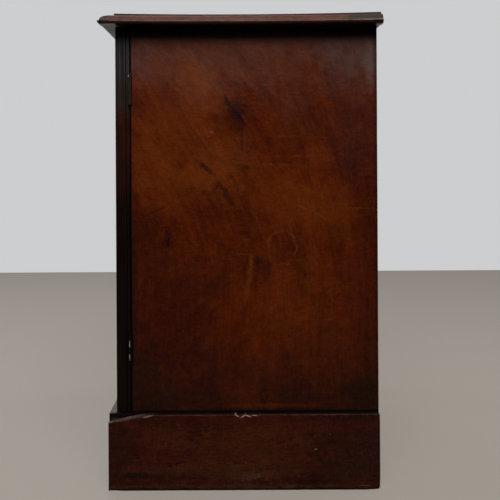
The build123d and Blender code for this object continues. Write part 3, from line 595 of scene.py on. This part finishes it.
def addMarks(place, colour, marks):
    for count, (across, up, wide, tall, turn, ragged, hollow, strength, tint) in enumerate(marks, 1):
        mask = useGroup(markGroup, {"Vector": place, "Across": across, "Up": up, "Wide": wide,
                                    "Tall": tall, "Turn": turn, "Ragged": ragged, "Hollow": hollow})[0]
        colour = mixColour(times(mask, strength), colour, paint(*tint))
        if count % markBatch == 0:
            # the next ones wait for this colour: more masks at once than this overrun the shader's memory
            place = vectorMaths("ADD", place, scaled(colour, 1e-6))
    return colour


def panelHistoryAndLight(place, colour, roughness, board=rightSide):
    where = axesOf(place)
    drift = times(minus(fineNoise(place, 11.0, 5.0, 0.7), 0.5), 0.20)
    height = plus(where[2], drift)
    backward = plus(where[1], drift)
    colour = addMarks(place, colour, board["marks"])
    # painted sheen of the polish: lighter and greyer towards the top, more so near the rear and front corners
    corner = times(soften(height, *board["rearHeight"]), soften(backward, *board["rearPaintedSheen"]))
    front = times(soften(height, *board["frontHeight"]), soften(backward, *board["frontPaintedSheen"]))
    corner = larger(corner, front)
    paintedSheen = mixColour(corner, board["paintedSheen"], board["paintedCornerSheen"])
    cover = times(soften(height, *board["paintedSheenHeight"]), plus(0.46, times(corner, 0.19)),
                  blotches(place, 30.0, 5.0, 0.7, 0.32, 0.68, 0.65, 1.2))
    colour = mixColour(cover, colour, paintedSheen)
    # darker towards the bottom, dirt and painted shade, and darker at the front and rear ends
    foot = times(soften(height, *board["footHeight"]), 0.68)
    frontEnd = times(soften(where[1], *board["frontEnd"]), soften(height, *board["endHeight"], 0.15))
    ends = larger(frontEnd, soften(where[1], *board["rearEnd"]))
    ends = times(ends, 0.6, soften(where[0], *board["outside"]))
    dirtAndShade = larger(foot, ends)
    colour = mixColour(dirtAndShade, colour, board["grimeAndShade"])
    colour = addMarks(place, colour, board["foot"])
    return colour, plus(roughness, times(dirtAndShade, 0.08))


def shadedEdges(place, colour, roughness, board=rightSide):
    where = axesOf(place)
    shade = larger(soften(where[2], *board["topShade"]), soften(where[2], *board["footShade"]))
    shade = larger(shade, soften(where[1], *board["frontShade"]))
    shade = times(shade, soften(where[0], *board["outside"]))
    colour = mixColour(times(shade, 0.99), colour, board["shade"])
    return colour, plus(roughness, times(shade, 0.4), True)


piece = agedBoard("right_side", "carcase", rightSide["wear"])
dress(piece, woodMaterial("right side polish", "right_side", polished, "Z", 0.0, panelHistoryAndLight,
                          shadedEdges, leaningGrain))
print("right side:", len(piece.data.polygons), "faces")


# The other boards of the case and the door

edgeBead = {"centre": -0.1802, "half": 0.0030, "quirk": 0.0011, "depth": 0.0022, "round": 0.8, "face": 0.2680}


def beadPlaces(bead):
    quirk = [-bead["half"] - bead["quirk"] * share for share in (0.0, 0.3, 0.7, 1.0)]
    swell = [bead["half"] * share for share in (-0.95, -0.85, -0.7, -0.45, -0.2, 0.1, 0.4, 0.7)]
    return [bead["centre"] + offset for offset in quirk + swell]


def cutBead(point, bead=edgeBead):
    # a quirk and a round bead along the edge of the door that carries the hinges
    if point.x < bead["face"]:
        return
    across = (point.y - bead["centre"]) / bead["half"]
    if -1 <= across <= 1:
        point.x -= bead["depth"] * bead["round"] * (1 - math.sqrt(max(0.0, 1 - across * across)))
    elif -1 - bead["quirk"] / bead["half"] < across < -1:
        point.x -= bead["depth"]


hingedEdge = {
    "outside": (0.2655, 0.2672), "cover": 0.97,
    "black": paint(0.0006, 0.0004, 0.0003), "dark": paint(0.0026, 0.0018, 0.0010),
    "brown": paint(0.0064, 0.0022, 0.0019), "red": paint(0.022, 0.0050, 0.0026), "redHeight": (0.44, 0.56),
    "paintedSheenAndShadow": (
        # from, to, cover, between the stripes, on the stripes
        # higher up a painted sheen, greyer and bluer
        ((0.585, 0.615), 0.85, paint(0.009, 0.0075, 0.0060), paint(0.022, 0.019, 0.015)),
        ((0.635, 0.665), 1.0, paint(0.008, 0.0070, 0.0080), paint(0.036, 0.032, 0.036)),
        # under the top a painted shadow
        ((0.702, 0.731), 1.0, paint(0.0006, 0.0003, 0.0002), paint(0.0006, 0.0003, 0.0002)),
    ),
}


def blackEdge(place, colour, roughness, edge=hingedEdge):
    # the hinged edge of the door is black with old polish, in fine stripes along the grain; higher up it has
    # a painted sheen and under the top a painted shadow
    where = axesOf(place)
    stripes = soften(stretched(place, (0, 620, 4), 2.0), 0.40, 0.62)
    patchy = soften(stretched(place, (0, 60, 22), 3.0), 0.36, 0.64)
    ink = mixColour(stripes, edge["black"], mixColour(patchy, edge["dark"], edge["brown"]))
    red = times(soften(where[2], *edge["redHeight"]), plus(0.45, times(patchy, 0.55)))
    ink = mixColour(red, ink, edge["red"])
    for height, cover, between, striped in edge["paintedSheenAndShadow"]:
        share = times(soften(where[2], *height), cover)
        ink = mixColour(share, ink, mixColour(stripes, between, striped))
    onEdge = times(soften(where[0], *edge["outside"]), edge["cover"])
    return mixColour(onEdge, colour, ink), roughness


paredCorner = {
    "endShadeAcross": (0.2600, 0.2640), "endShadeBack": (-0.2112, -0.2104), "dark": paint(0.0030, 0.0018, 0.0012),
    "ledgeShadeAcross": (0.230, 0.120), "ledgeShadeHeight": (0.1178, 0.1190), "ledgeShade": paint(0.020, 0.006, 0.004),
}


def darkEnd(place, colour, roughness, corner=paredCorner):
    # painted shade on the end grain behind the pared corner of the plinth; the ledge's top face gets painted
    # shade too, except near that corner, so the dust on the ledge shows only there
    where = axesOf(place)
    endShade = times(soften(where[0], *corner["endShadeAcross"]), soften(where[1], *corner["endShadeBack"]), 0.96)
    colour = mixColour(endShade, colour, corner["dark"])
    # painted shade on the ledge's top face, fading out near the pared corner
    ledgeShade = times(soften(where[0], *corner["ledgeShadeAcross"]), soften(where[2], *corner["ledgeShadeHeight"]), 0.85)
    return mixColour(ledgeShade, colour, corner["ledgeShade"]), roughness


rightPlinth = {
    "marks": (
        (0.02, 0.066, 0.13, 0.042, 0, 0.9, 0, 0.3, (0.064, 0.0125, 0.0022)),
        (-0.02, 0.03, 0.18, 0.016, 0, 0.9, 0, 0.26, (0.046, 0.017, 0.006)),
        (-0.12, 0.085, 0.06, 0.025, 0, 0.9, 0, 0.22, (0.058, 0.011, 0.002)),
        (0.205, 0.06, 0.04, 0.075, 0, 0.9, 0, 0.52, (0.01, 0.0036, 0.004)),
        (0.165, 0.035, 0.05, 0.03, 0, 0.9, 0, 0.35, (0.012, 0.0045, 0.003)),
        (-0.205, 0.06, 0.024, 0.06, 0, 0.9, 0, 0.45, (0.01, 0.004, 0.003)),
        (-0.172, 0.024, 0.06, 0.0055, 0.03, 0.8, 0, 0.8, (0.004, 0.0018, 0.0012)),
        (-0.09, 0.021, 0.035, 0.003, 0.02, 0.9, 0, 0.5, (0.006, 0.0022, 0.0014)),
        (0.06, 0.034, 0.11, 0.003, -0.03, 0.9, 0, 0.35, (0.009, 0.0026, 0.0014)),
        (-0.02, 0.006, 0.2, 0.005, 0, 0.9, 0, 0.4, (0.04, 0.019, 0.009)),
        (0.1162, 0.0644, 0.002, 0.0012, 0.3, 0.4, 0, 0.85, (0.24, 0.14, 0.11)),
        (0.1386, 0.0881, 0.0018, 0.001, 0.3, 0.4, 0, 0.5, (0.18, 0.09, 0.07)),
        (0.1937, 0.0068, 0.013, 0.0007, 0, 0.3, 0, 0.6, (0.12, 0.085, 0.065)),
        (0.016, 0.0215, 0.024, 0.005, 0, 2.2, 0, 0.34, (0.07, 0.042, 0.032)),
        (-0.056, 0.048, 0.0012, 0.001, 0, 0.4, 0, 0.25, (0.18, 0.11, 0.08)),
        (0.006, 0.043, 0.002, 0.001, 0, 0.4, 0, 0.5, (0.15, 0.085, 0.06)),
    ),
    "chipped": (
        # pale splinters along the top arris
        (-0.008, 0.1178, 0.005, 0.0008, 0.45, 0.4, 0, 0.95, (0.3, 0.19, 0.16)),
        (0.001, 0.1168, 0.005, 0.0009, -0.5, 0.4, 0, 0.95, (0.33, 0.22, 0.19)),
        (0.01, 0.1172, 0.0055, 0.0009, 0.3, 0.4, 0, 0.95, (0.33, 0.22, 0.19)),
        (0.02, 0.1182, 0.005, 0.0008, 0.05, 0.4, 0, 0.9, (0.26, 0.17, 0.145)),
        (-0.15, 0.1172, 0.009, 0.0011, -0.19, 0.5, 0, 0.85, (0.23, 0.175, 0.155)),
        (-0.18, 0.1132, 0.033, 0.0013, -0.19, 0.6, 0, 0.7, (0.09, 0.072, 0.064)),
        (-0.208, 0.1085, 0.005, 0.0012, -0.19, 0.6, 0, 0.7, (0.1, 0.082, 0.074)),
    ),
    # the ledge's top face: grime and painted shade; then the colour of painted contact shadows
    "ledge": paint(0.0058, 0.0020, 0.0010), "contactShadow": paint(0.0016, 0.0006, 0.0004),
    "footHeight": (0.0050, 0.0015), "ledgeHeight": (0.1180, 0.1192), "ledgeAcross": (0.2815, 0.2803),
    "cornerHeight": (0.1175, 0.1185), "cornerAcross": (0.2745, 0.2715),
}


def plinthHistoryAndShadow(place, colour, roughness, board=rightPlinth):
    colour = addMarks(place, colour, board["marks"])
    where = axesOf(place)
    # painted contact shadow along the bottom, where the plinth stands on the floor
    ragged = times(minus(fineNoise(place, 60.0, 4.0, 0.7), 0.5), 0.008)
    foot = soften(plus(where[2], ragged), *board["footHeight"])
    return mixColour(times(foot, 0.85), colour, board["contactShadow"]), roughness


def plinthLedge(place, colour, roughness, board=rightPlinth):
    where = axesOf(place)
    # the ledge's top face is darker: grime and painted shade
    onLedge = times(soften(where[2], *board["ledgeHeight"]), soften(where[0], *board["ledgeAcross"]), 0.9)
    colour = mixColour(onLedge, colour, board["ledge"])
    # painted contact shadow where the ledge meets the side panel
    corner = times(soften(where[0], *board["cornerAcross"]), soften(where[2], *board["cornerHeight"]))
    colour = mixColour(corner, colour, board["contactShadow"])
    return addMarks(place, colour, board["chipped"]), roughness


boards = {
    # node: (body, finish, slot, grain, thin axis, arris radius in mm, seed)
    "left_side": ("carcase", warm, "polished_mahogany", "Z", 0, 1.1, 7.3),
    "hinge_stile": ("door", joined, "polished_mahogany", "Z", 1, 1.0, 1.9),
    "lock_stile": ("door", joined, "polished_mahogany", "Z", 1, 1.0, 2.7),
    "upper_rail": ("door", joined, "polished_mahogany", "X", 1, 0.5, 4.1),
    "lower_rail": ("door", joined, "polished_mahogany", "X", 1, 0.5, 5.3),
    "plinth_front": ("carcase", ledgeDustAndLight, "plinth_mahogany", "X", 1, 1.4, 6.1),
    "plinth_left": ("carcase", dull, "plinth_mahogany", "Y", 0, 1.4, 8.2),
    "plinth_right": ("carcase", dull, "plinth_mahogany", "Y", 0, 1.2, 9.4),
    "base_rail": ("carcase", dull, "plinth_mahogany", "X", 1, 0.6, 3.7),
}
historiesAndLight = {
    # node: (before the pores and worn edges, after them)
    "hinge_stile": (None, blackEdge), "base_rail": (None, darkEnd), "plinth_front": (None, darkEnd),
    "plinth_right": (plinthHistoryAndShadow, plinthLedge),
}
extraWear = {
    "hinge_stile": {"cuts": {1: beadPlaces(edgeBead)}, "shape": cutBead},
    "plinth_right": {
        "cuts": {1: [-0.014 + 0.002 * i for i in range(20)]},
        "chips": (
            # centre, reach, depth
            ((0.282, -0.006, 0.1195), 0.006, 0.0012), ((0.282, 0.004, 0.1195), 0.007, 0.0016),
            ((0.282, 0.015, 0.1195), 0.007, 0.0013), ((0.282, 0.218, 0.0), 0.016, 0.0035),
            ((0.282, -0.212, 0.0), 0.020, 0.0030), ((0.282, 0.218, 0.1195), 0.008, 0.0010),
        ),
    },
}
for node, (body, finish, slotName, direction, thin, radius, seed) in boards.items():
    wear = {"radius": radius * mm, "step": 0.008, "wave": 0.2 * mm, "seed": seed, "thin": thin}
    piece = agedBoard(node, body, {**wear, **extraWear.get(node, {})})
    early, late = historiesAndLight.get(node, (None, None))
    dress(piece, woodMaterial(node + " finish", node, finish, direction, seed, early, late))
    print("board:", node, len(piece.data.polygons), "faces")


# Top board: its moulding is rubbed and dented, and its long edges have sunk a little

topBoard = {
    "step": 0.009, "quickStep": 0.027, "sink": (0.0018, 0.0019), "wornFillet": (0.0005, 0.0010),
    "fillet": 0.756, "level": 0.15, "dent": 0.35 * mm, "insideDent": 0.25, "seed": 4.4,
    # how far the underside may sink: above the door where it swings by, and behind that
    "swingBack": -0.145, "swingFade": 0.025, "leastDrop": 0.0006, "furtherDrop": 0.004,
}


def sunkenTop(board):
    low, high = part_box("top_board")
    shape = cleanShape("top_board")
    profile = shape.verts.layers.float.new("profile")
    for axis in (0, 1):
        step = board["step"]
        cutAcross(shape, axis, cutPlaces(low[axis], high[axis], step))
    for vertex in shape.verts:
        vertex[profile] = vertex.co.z
    shape.normal_update()
    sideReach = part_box("right_side")[1].x
    fillet, level = board["fillet"], board["level"]
    for vertex in shape.verts:
        point = vertex.co.copy()
        swell = 1 - (point.y / high.y) ** 2
        overhang = min(1.0, max(0.0, (abs(point.x) - level) / (sideReach - level)))
        overhang = overhang * overhang * (3 - 2 * overhang)
        under = 1.0 if abs(point.x) > sideReach + 0.5 * mm else (point.z - low.z) / (high.z - low.z)
        sink = (board["sink"][0] + board["sink"][1] * swell) * overhang * under
        aboveFillet = max(0.0, (point.z - fillet) / (high.z - fillet))
        sink += (board["wornFillet"][0] + board["wornFillet"][1] * swell) * overhang * aboveFillet
        rub = 0.5 + 0.5 * noise.noise(point * 70 + Vector((board["seed"], 0, 0)))
        rub += 0.5 * max(0.0, noise.noise(point * 260))
        outer = 1.0 if low.z + 0.5 * mm < point.z < fillet + mm else board["insideDent"]
        vertex.co -= vertex.normal * board["dent"] * rub * outer
        beyond = min(1.0, max(0.0, (point.y - board["swingBack"]) / board["swingFade"]))
        lowest = low.z - board["leastDrop"] - board["furtherDrop"] * beyond
        vertex.co.z = max(vertex.co.z - sink, lowest)
    return finishedPiece(shape, "moulded_top", "top_board", "carcase", 32)


moulding = {
    # heights on the unsunk profile, each from where a border starts to where it ends
    "bandFoot": (0.7445, 0.7455), "bandHead": (0.7575, 0.7560), "upper": (0.7450, 0.7555),
    "crownFoot": (0.7546, 0.7552), "crownHead": (0.7562, 0.7560), "below": (0.7440, 0.7425),
    "underside": (0.7412, 0.7388), "filletFoot": (0.7560, 0.7564), "filletHead": (0.7600, 0.7597),
    "ridge": 0.7443, "ridgeBorder": (0.0013, 0.0006), "frontHead": (0.7600, 0.7590),
    "crest": (0.7500, 0.7550),
    # places across and from front to back
    "rightSide": (0.18, 0.26), "greyedBack": (0.156, 0.182), "ridgeBack": (0.10, 0.18),
    "paleBack": (0.16, 0.21), "front": (-0.198, -0.210),
    # colours, the darker and the lighter of each part
    "hollow": (paint(0.018, 0.0052, 0.0034), paint(0.034, 0.0102, 0.0070)),
    "swell": (paint(0.031, 0.0108, 0.0072), paint(0.052, 0.0200, 0.0140)),
    "greyed": (paint(0.0034, 0.0028, 0.0024), paint(0.0100, 0.0096, 0.0098)),
    "crown": paint(0.078, 0.050, 0.041),
    "nose": (paint(0.012, 0.0016, 0.0010), paint(0.026, 0.0050, 0.0036)),
    "shadow": paint(0.0008, 0.0003, 0.0002), "fillet": paint(0.0040, 0.0028, 0.0024),
    "rubbedAndHighlit": (paint(0.135, 0.068, 0.056), paint(0.190, 0.160, 0.150)),
    "frontEnd": (paint(0.004, 0.0035, 0.002), paint(0.034, 0.031, 0.026)),
}


def mouldingWearAndLight(place, colour, roughness, parts=moulding):
    height = shaderNode("ShaderNodeAttribute", attribute_name="profile").outputs["Fac"]
    where = axesOf(place)

    def level(name):
        return soften(height, *parts[name])

    def cover(mask, strength, over):
        return mixColour(times(mask, strength), colour, over)

    patchy = blotches(place, 45.0, 4.0, 0.65, 0.36, 0.62)
    mottled = blotches(place, 240.0, 4.0, 0.7, 0.45, 0.65)
    band = times(level("bandFoot"), level("bandHead"))
    upper = level("upper")
    atRight = soften(where[0], *parts["rightSide"])
    # the band is lighter towards its upper part, which looks up: painted sheen
    colour = cover(band, 0.80, mixColour(upper, mixColour(patchy, *parts["hollow"]),
                                         mixColour(patchy, *parts["swell"])))
    greyed = times(band, soften(where[1], *parts["greyedBack"]), 0.97)
    colour = cover(greyed, atRight, mixColour(upper, *parts["greyed"]))
    # the line just under the fillet catches the light
    colour = cover(times(level("crownFoot"), level("crownHead")), 0.7, parts["crown"])
    # the nose, which looks down, is painted darker: painted shade
    colour = cover(level("below"), 0.85, mixColour(patchy, *parts["nose"]))
    colour = cover(level("underside"), 0.92, parts["shadow"])
    colour = cover(times(level("filletFoot"), level("filletHead")), 0.94, parts["fillet"])
    # the arris is rubbed pale and carries a painted highlight, paler at the rear on the right
    ridge = soften(maths("ABSOLUTE", minus(height, parts["ridge"])), *parts["ridgeBorder"])
    ridge = times(ridge, blotches(place, 70.0, 4.0, 0.7, 0.33, 0.56, 0.45))
    ridgeCover = soften(where[1], *parts["ridgeBack"], 0.85, 1.0)
    pale = times(soften(where[1], *parts["paleBack"]), atRight)
    colour = cover(ridge, ridgeCover, mixColour(pale, *parts["rubbedAndHighlit"]))
    front = times(soften(where[1], *parts["front"]), level("frontHead"), atRight)
    colour = cover(front, 0.85, mixColour(mottled, *parts["frontEnd"]))
    roughness = plus(roughness, times(band, 0.12))
    return colour, plus(roughness, times(level("crest"), 0.30))


piece = sunkenTop(topBoard)
topFinish = dict(warm, edge=0.0003, specular=0.12, scratches=0.03)
dress(piece, woodMaterial("top polish", "top_board", topFinish, "Y", 21.0, mouldingWearAndLight))
print("top board:", len(piece.data.polygons), "faces")


# Everything else made of wood keeps its CAD shape

plainWood = {
    "door_panel": (joined, "Z"), "panel_moulding": (joined, "Z"),
    "front_top_rail": (pine, "X"), "back_top_rail": (pine, "X"), "bottom_board": (pine, "X"),
    "backboards": (pine, "Z"), "plinth_back": (pine, "X"), "glue_blocks": (pine, "Z"),
    "right_lining": (oak, "Z"), "left_lining": (oak, "Z"), "drawer_runners": (oak, "Y"),
}
for number in drawerNumbers:
    plainWood[f"drawer_{number}_front"] = (drawerWood, "X")
    plainWood[f"drawer_{number}_box"] = (cedar, "Y")
for seed, (node, (finish, direction)) in enumerate(plainWood.items()):
    dress(nodes[node], woodMaterial(node + " finish", node, finish, direction, 11.0 + seed * 1.37))
print("plain wood:", len(plainWood), "nodes")


# Brass and steel

metal = {"rubbedAndHighlit": (), "bareAndGlint": paint(0.42, 0.38, 0.30), "outside": (-0.1777, -0.1785), "shine": 0.65,
         "specular": 0.5}
# height and half length of the bright places on the knuckles: worn brass and painted highlights
black = dict(metal, rubbedAndHighlit=((0.2300, 0.0060), (0.2090, 0.0060), (0.6573, 0.0018)), roughness=0.48, shine=0.0,
             specular=0.06)
metals = {
    "tarnished brass": dict(
        metal, bright=paint(0.50, 0.36, 0.15), tarnish=paint(0.12, 0.075, 0.035), roughness=0.32,
        nodes=["strike_plate", "side_screws", "door_screws", "lock_case", "lock_bolt", "escutcheon"]
        + [f"drawer_{number}_knobs" for number in drawerNumbers]),
    "blackened brass": dict(
        black, bright=paint(0.006, 0.005, 0.004), tarnish=paint(0.0016, 0.0013, 0.0012),
        nodes=["lower_hinge_side_leaf", "lower_hinge_door_leaf", "hinge_pins"]),
    "dulled brass": dict(
        black, bright=paint(0.034, 0.021, 0.017), tarnish=paint(0.011, 0.0065, 0.0060),
        nodes=["upper_hinge_side_leaf", "upper_hinge_door_leaf"]),
    "darkened steel": dict(
        metal, bright=paint(0.36, 0.35, 0.34), tarnish=paint(0.07, 0.06, 0.055), roughness=0.38,
        nodes=["key", "top_screws"]),
}


def metalMaterial(name, finish):
    material, shader = newMaterial(name)
    place = shaderNode("ShaderNodeTexCoord").outputs["Object"]
    film = blotches(place, 180.0, 5.0, 0.65, 0.38, 0.62)
    spots = blotches(place, 900.0, 3.0, 0.6, 0.60, 0.72)
    cover = plus(times(film, 0.7), times(spots, 0.4), True)
    bump = shaderNode("ShaderNodeBump", {"Strength": 0.2, "Distance": 0.0002, "Height": film})
    colour = mixColour(cover, finish["bright"], finish["tarnish"])
    # bright brass on the knuckles: worn places and painted highlights
    if finish["rubbedAndHighlit"]:
        where = axesOf(place)
        bareAndGlint = 0.0
        for centre, half in finish["rubbedAndHighlit"]:
            away = maths("ABSOLUTE", minus(where[2], centre))
            bareAndGlint = larger(bareAndGlint, soften(away, half, half * 0.6))
        bareAndGlint = times(bareAndGlint, soften(where[1], *finish["outside"]))
        colour = mixColour(bareAndGlint, colour, finish["bareAndGlint"])
    shine = minus(1.0, times(cover, 1 - finish["shine"]))
    tree.links.new(colour, shader.inputs["Base Color"])
    tree.links.new(plus(finish["roughness"], times(cover, 0.25)), shader.inputs["Roughness"])
    tree.links.new(shine, shader.inputs["Metallic"])
    tree.links.new(bump.outputs[0], shader.inputs["Normal"])
    shader.inputs["Specular IOR Level"].default_value = finish["specular"]
    return material


for name, finish in metals.items():
    material = metalMaterial(name, finish)
    for node in finish["nodes"]:
        dress(nodes[node], material)
print("metal:", sum(len(finish["nodes"]) for finish in metals.values()), "nodes")


# Plain floor, pale wall and soft lamps

studio = {
    "floor": paint(0.185, 0.168, 0.150), "floorSeen": paint(0.324, 0.294, 0.256), "floorHalf": 9.0,
    "floorFade": (-2.2, 0.6, 0.86, 1.15), "floorEvened": 0.6,
    "wall": paint(0.608, 0.614, 0.620), "wallPlace": -2.26, "wallHalf": 9.0, "wallHeight": 4.0,
    "air": paint(0.985, 0.99, 1.0), "ambient": 0.07, "sky": 0.60, "behindCamera": 0.04,
    "lamps": {
        "key lamp": {"place": (1.48, 0.08, 2.42), "aim": (0.27, 0.02, 0.50), "size": 1.3, "power": 82},
        "front lamp": {"place": (-0.5, -2.6, 1.5), "aim": (0, -0.2, 0.4), "size": 1.6, "power": 46},
        "left lamp": {"place": (-2.1, -0.6, 1.6), "aim": (-0.27, 0, 0.4), "size": 1.6, "power": 42},
        "back lamp": {"place": (-0.6, 2.6, 1.5), "aim": (0, 0.2, 0.4), "size": 1.6, "power": 50},
    },
}


def sheetOf(name, corners, material):
    mesh = bpy.data.meshes.new(name)
    mesh.from_pydata(corners, [], [(0, 1, 2, 3)])
    piece = placed(name, mesh)
    dress(piece, material)


def areaLamp(name, lamp):
    data = bpy.data.lights.new(name, "AREA")
    data.shape = "SQUARE"
    data.size = lamp["size"]
    data.energy = lamp["power"]
    made = placed(name, data)
    made.location = lamp["place"]
    made.rotation_euler = (Vector(lamp["aim"]) - Vector(lamp["place"])).to_track_quat("-Z", "Y").to_euler()


def seenRays():
    path = shaderNode("ShaderNodeLightPath").outputs
    seen = larger(path["Is Camera Ray"], path["Is Glossy Ray"])
    return larger(seen, path["Is Transmission Ray"])


def cameraRays():
    return shaderNode("ShaderNodeLightPath").outputs["Is Camera Ray"]


def stageMaterial(name, colour, roughness, specular, seenColour, seenHow):
    # a plain paint, and how much of it a flat glow of its own takes over, and how bright
    material, shader = newMaterial(name)
    shader.inputs["Base Color"].default_value = colour
    shader.inputs["Roughness"].default_value = roughness
    shader.inputs["Specular IOR Level"].default_value = specular
    share, strength = seenHow()
    glow = shaderNode("ShaderNodeEmission", {"Color": seenColour, "Strength": strength})
    both = shaderNode("ShaderNodeMixShader", {0: share, 1: shader.outputs[0], 2: glow.outputs[0]})
    tree.links.new(both.outputs[0], tree.nodes["Material Output"].inputs[0])
    return material


def floorGlow():
    ground = axesOf(shaderNode("ShaderNodeTexCoord").outputs["Object"])
    # the floor's own glow brightens towards the camera: painted light
    strength = soften(ground[0], *studio["floorFade"])
    return times(cameraRays(), studio["floorEvened"]), strength


def wallGlow():
    return seenRays(), 1.0


half = studio["floorHalf"]
sheetOf("floor", [(-half, -half, 0), (half, -half, 0), (half, half, 0), (-half, half, 0)],
        stageMaterial("plain floor", studio["floor"], 0.6, 0.2, studio["floorSeen"], floorGlow))
half, back, top = studio["wallHalf"], studio["wallPlace"], studio["wallHeight"]
sheetOf("wall", [(back, -half, 0), (back, half, 0), (back, half, top), (back, -half, top)],
        stageMaterial("pale wall", studio["wall"], 0.9, 0.5, studio["wall"], wallGlow))

world = bpy.data.worlds.new("studio")
scene.world = world
world.use_nodes = True
tree = world.node_tree
direction = axesOf(shaderNode("ShaderNodeTexCoord").outputs["Generated"])
level = soften(direction[0], 0.25, 0.75, studio["sky"], studio["behindCamera"])
level = shaderNode("ShaderNodeMix", {0: cameraRays(), 2: level, 3: studio["sky"]}).outputs[0]
level = shaderNode("ShaderNodeMix", {0: seenRays(), 2: studio["ambient"], 3: level}).outputs[0]
tree.links.new(level, tree.nodes["Background"].inputs["Strength"])
tree.nodes["Background"].inputs["Color"].default_value = studio["air"]

for name, lamp in studio["lamps"].items():
    areaLamp(name, lamp)
print("studio: floor, wall and", len(studio["lamps"]), "lamps")
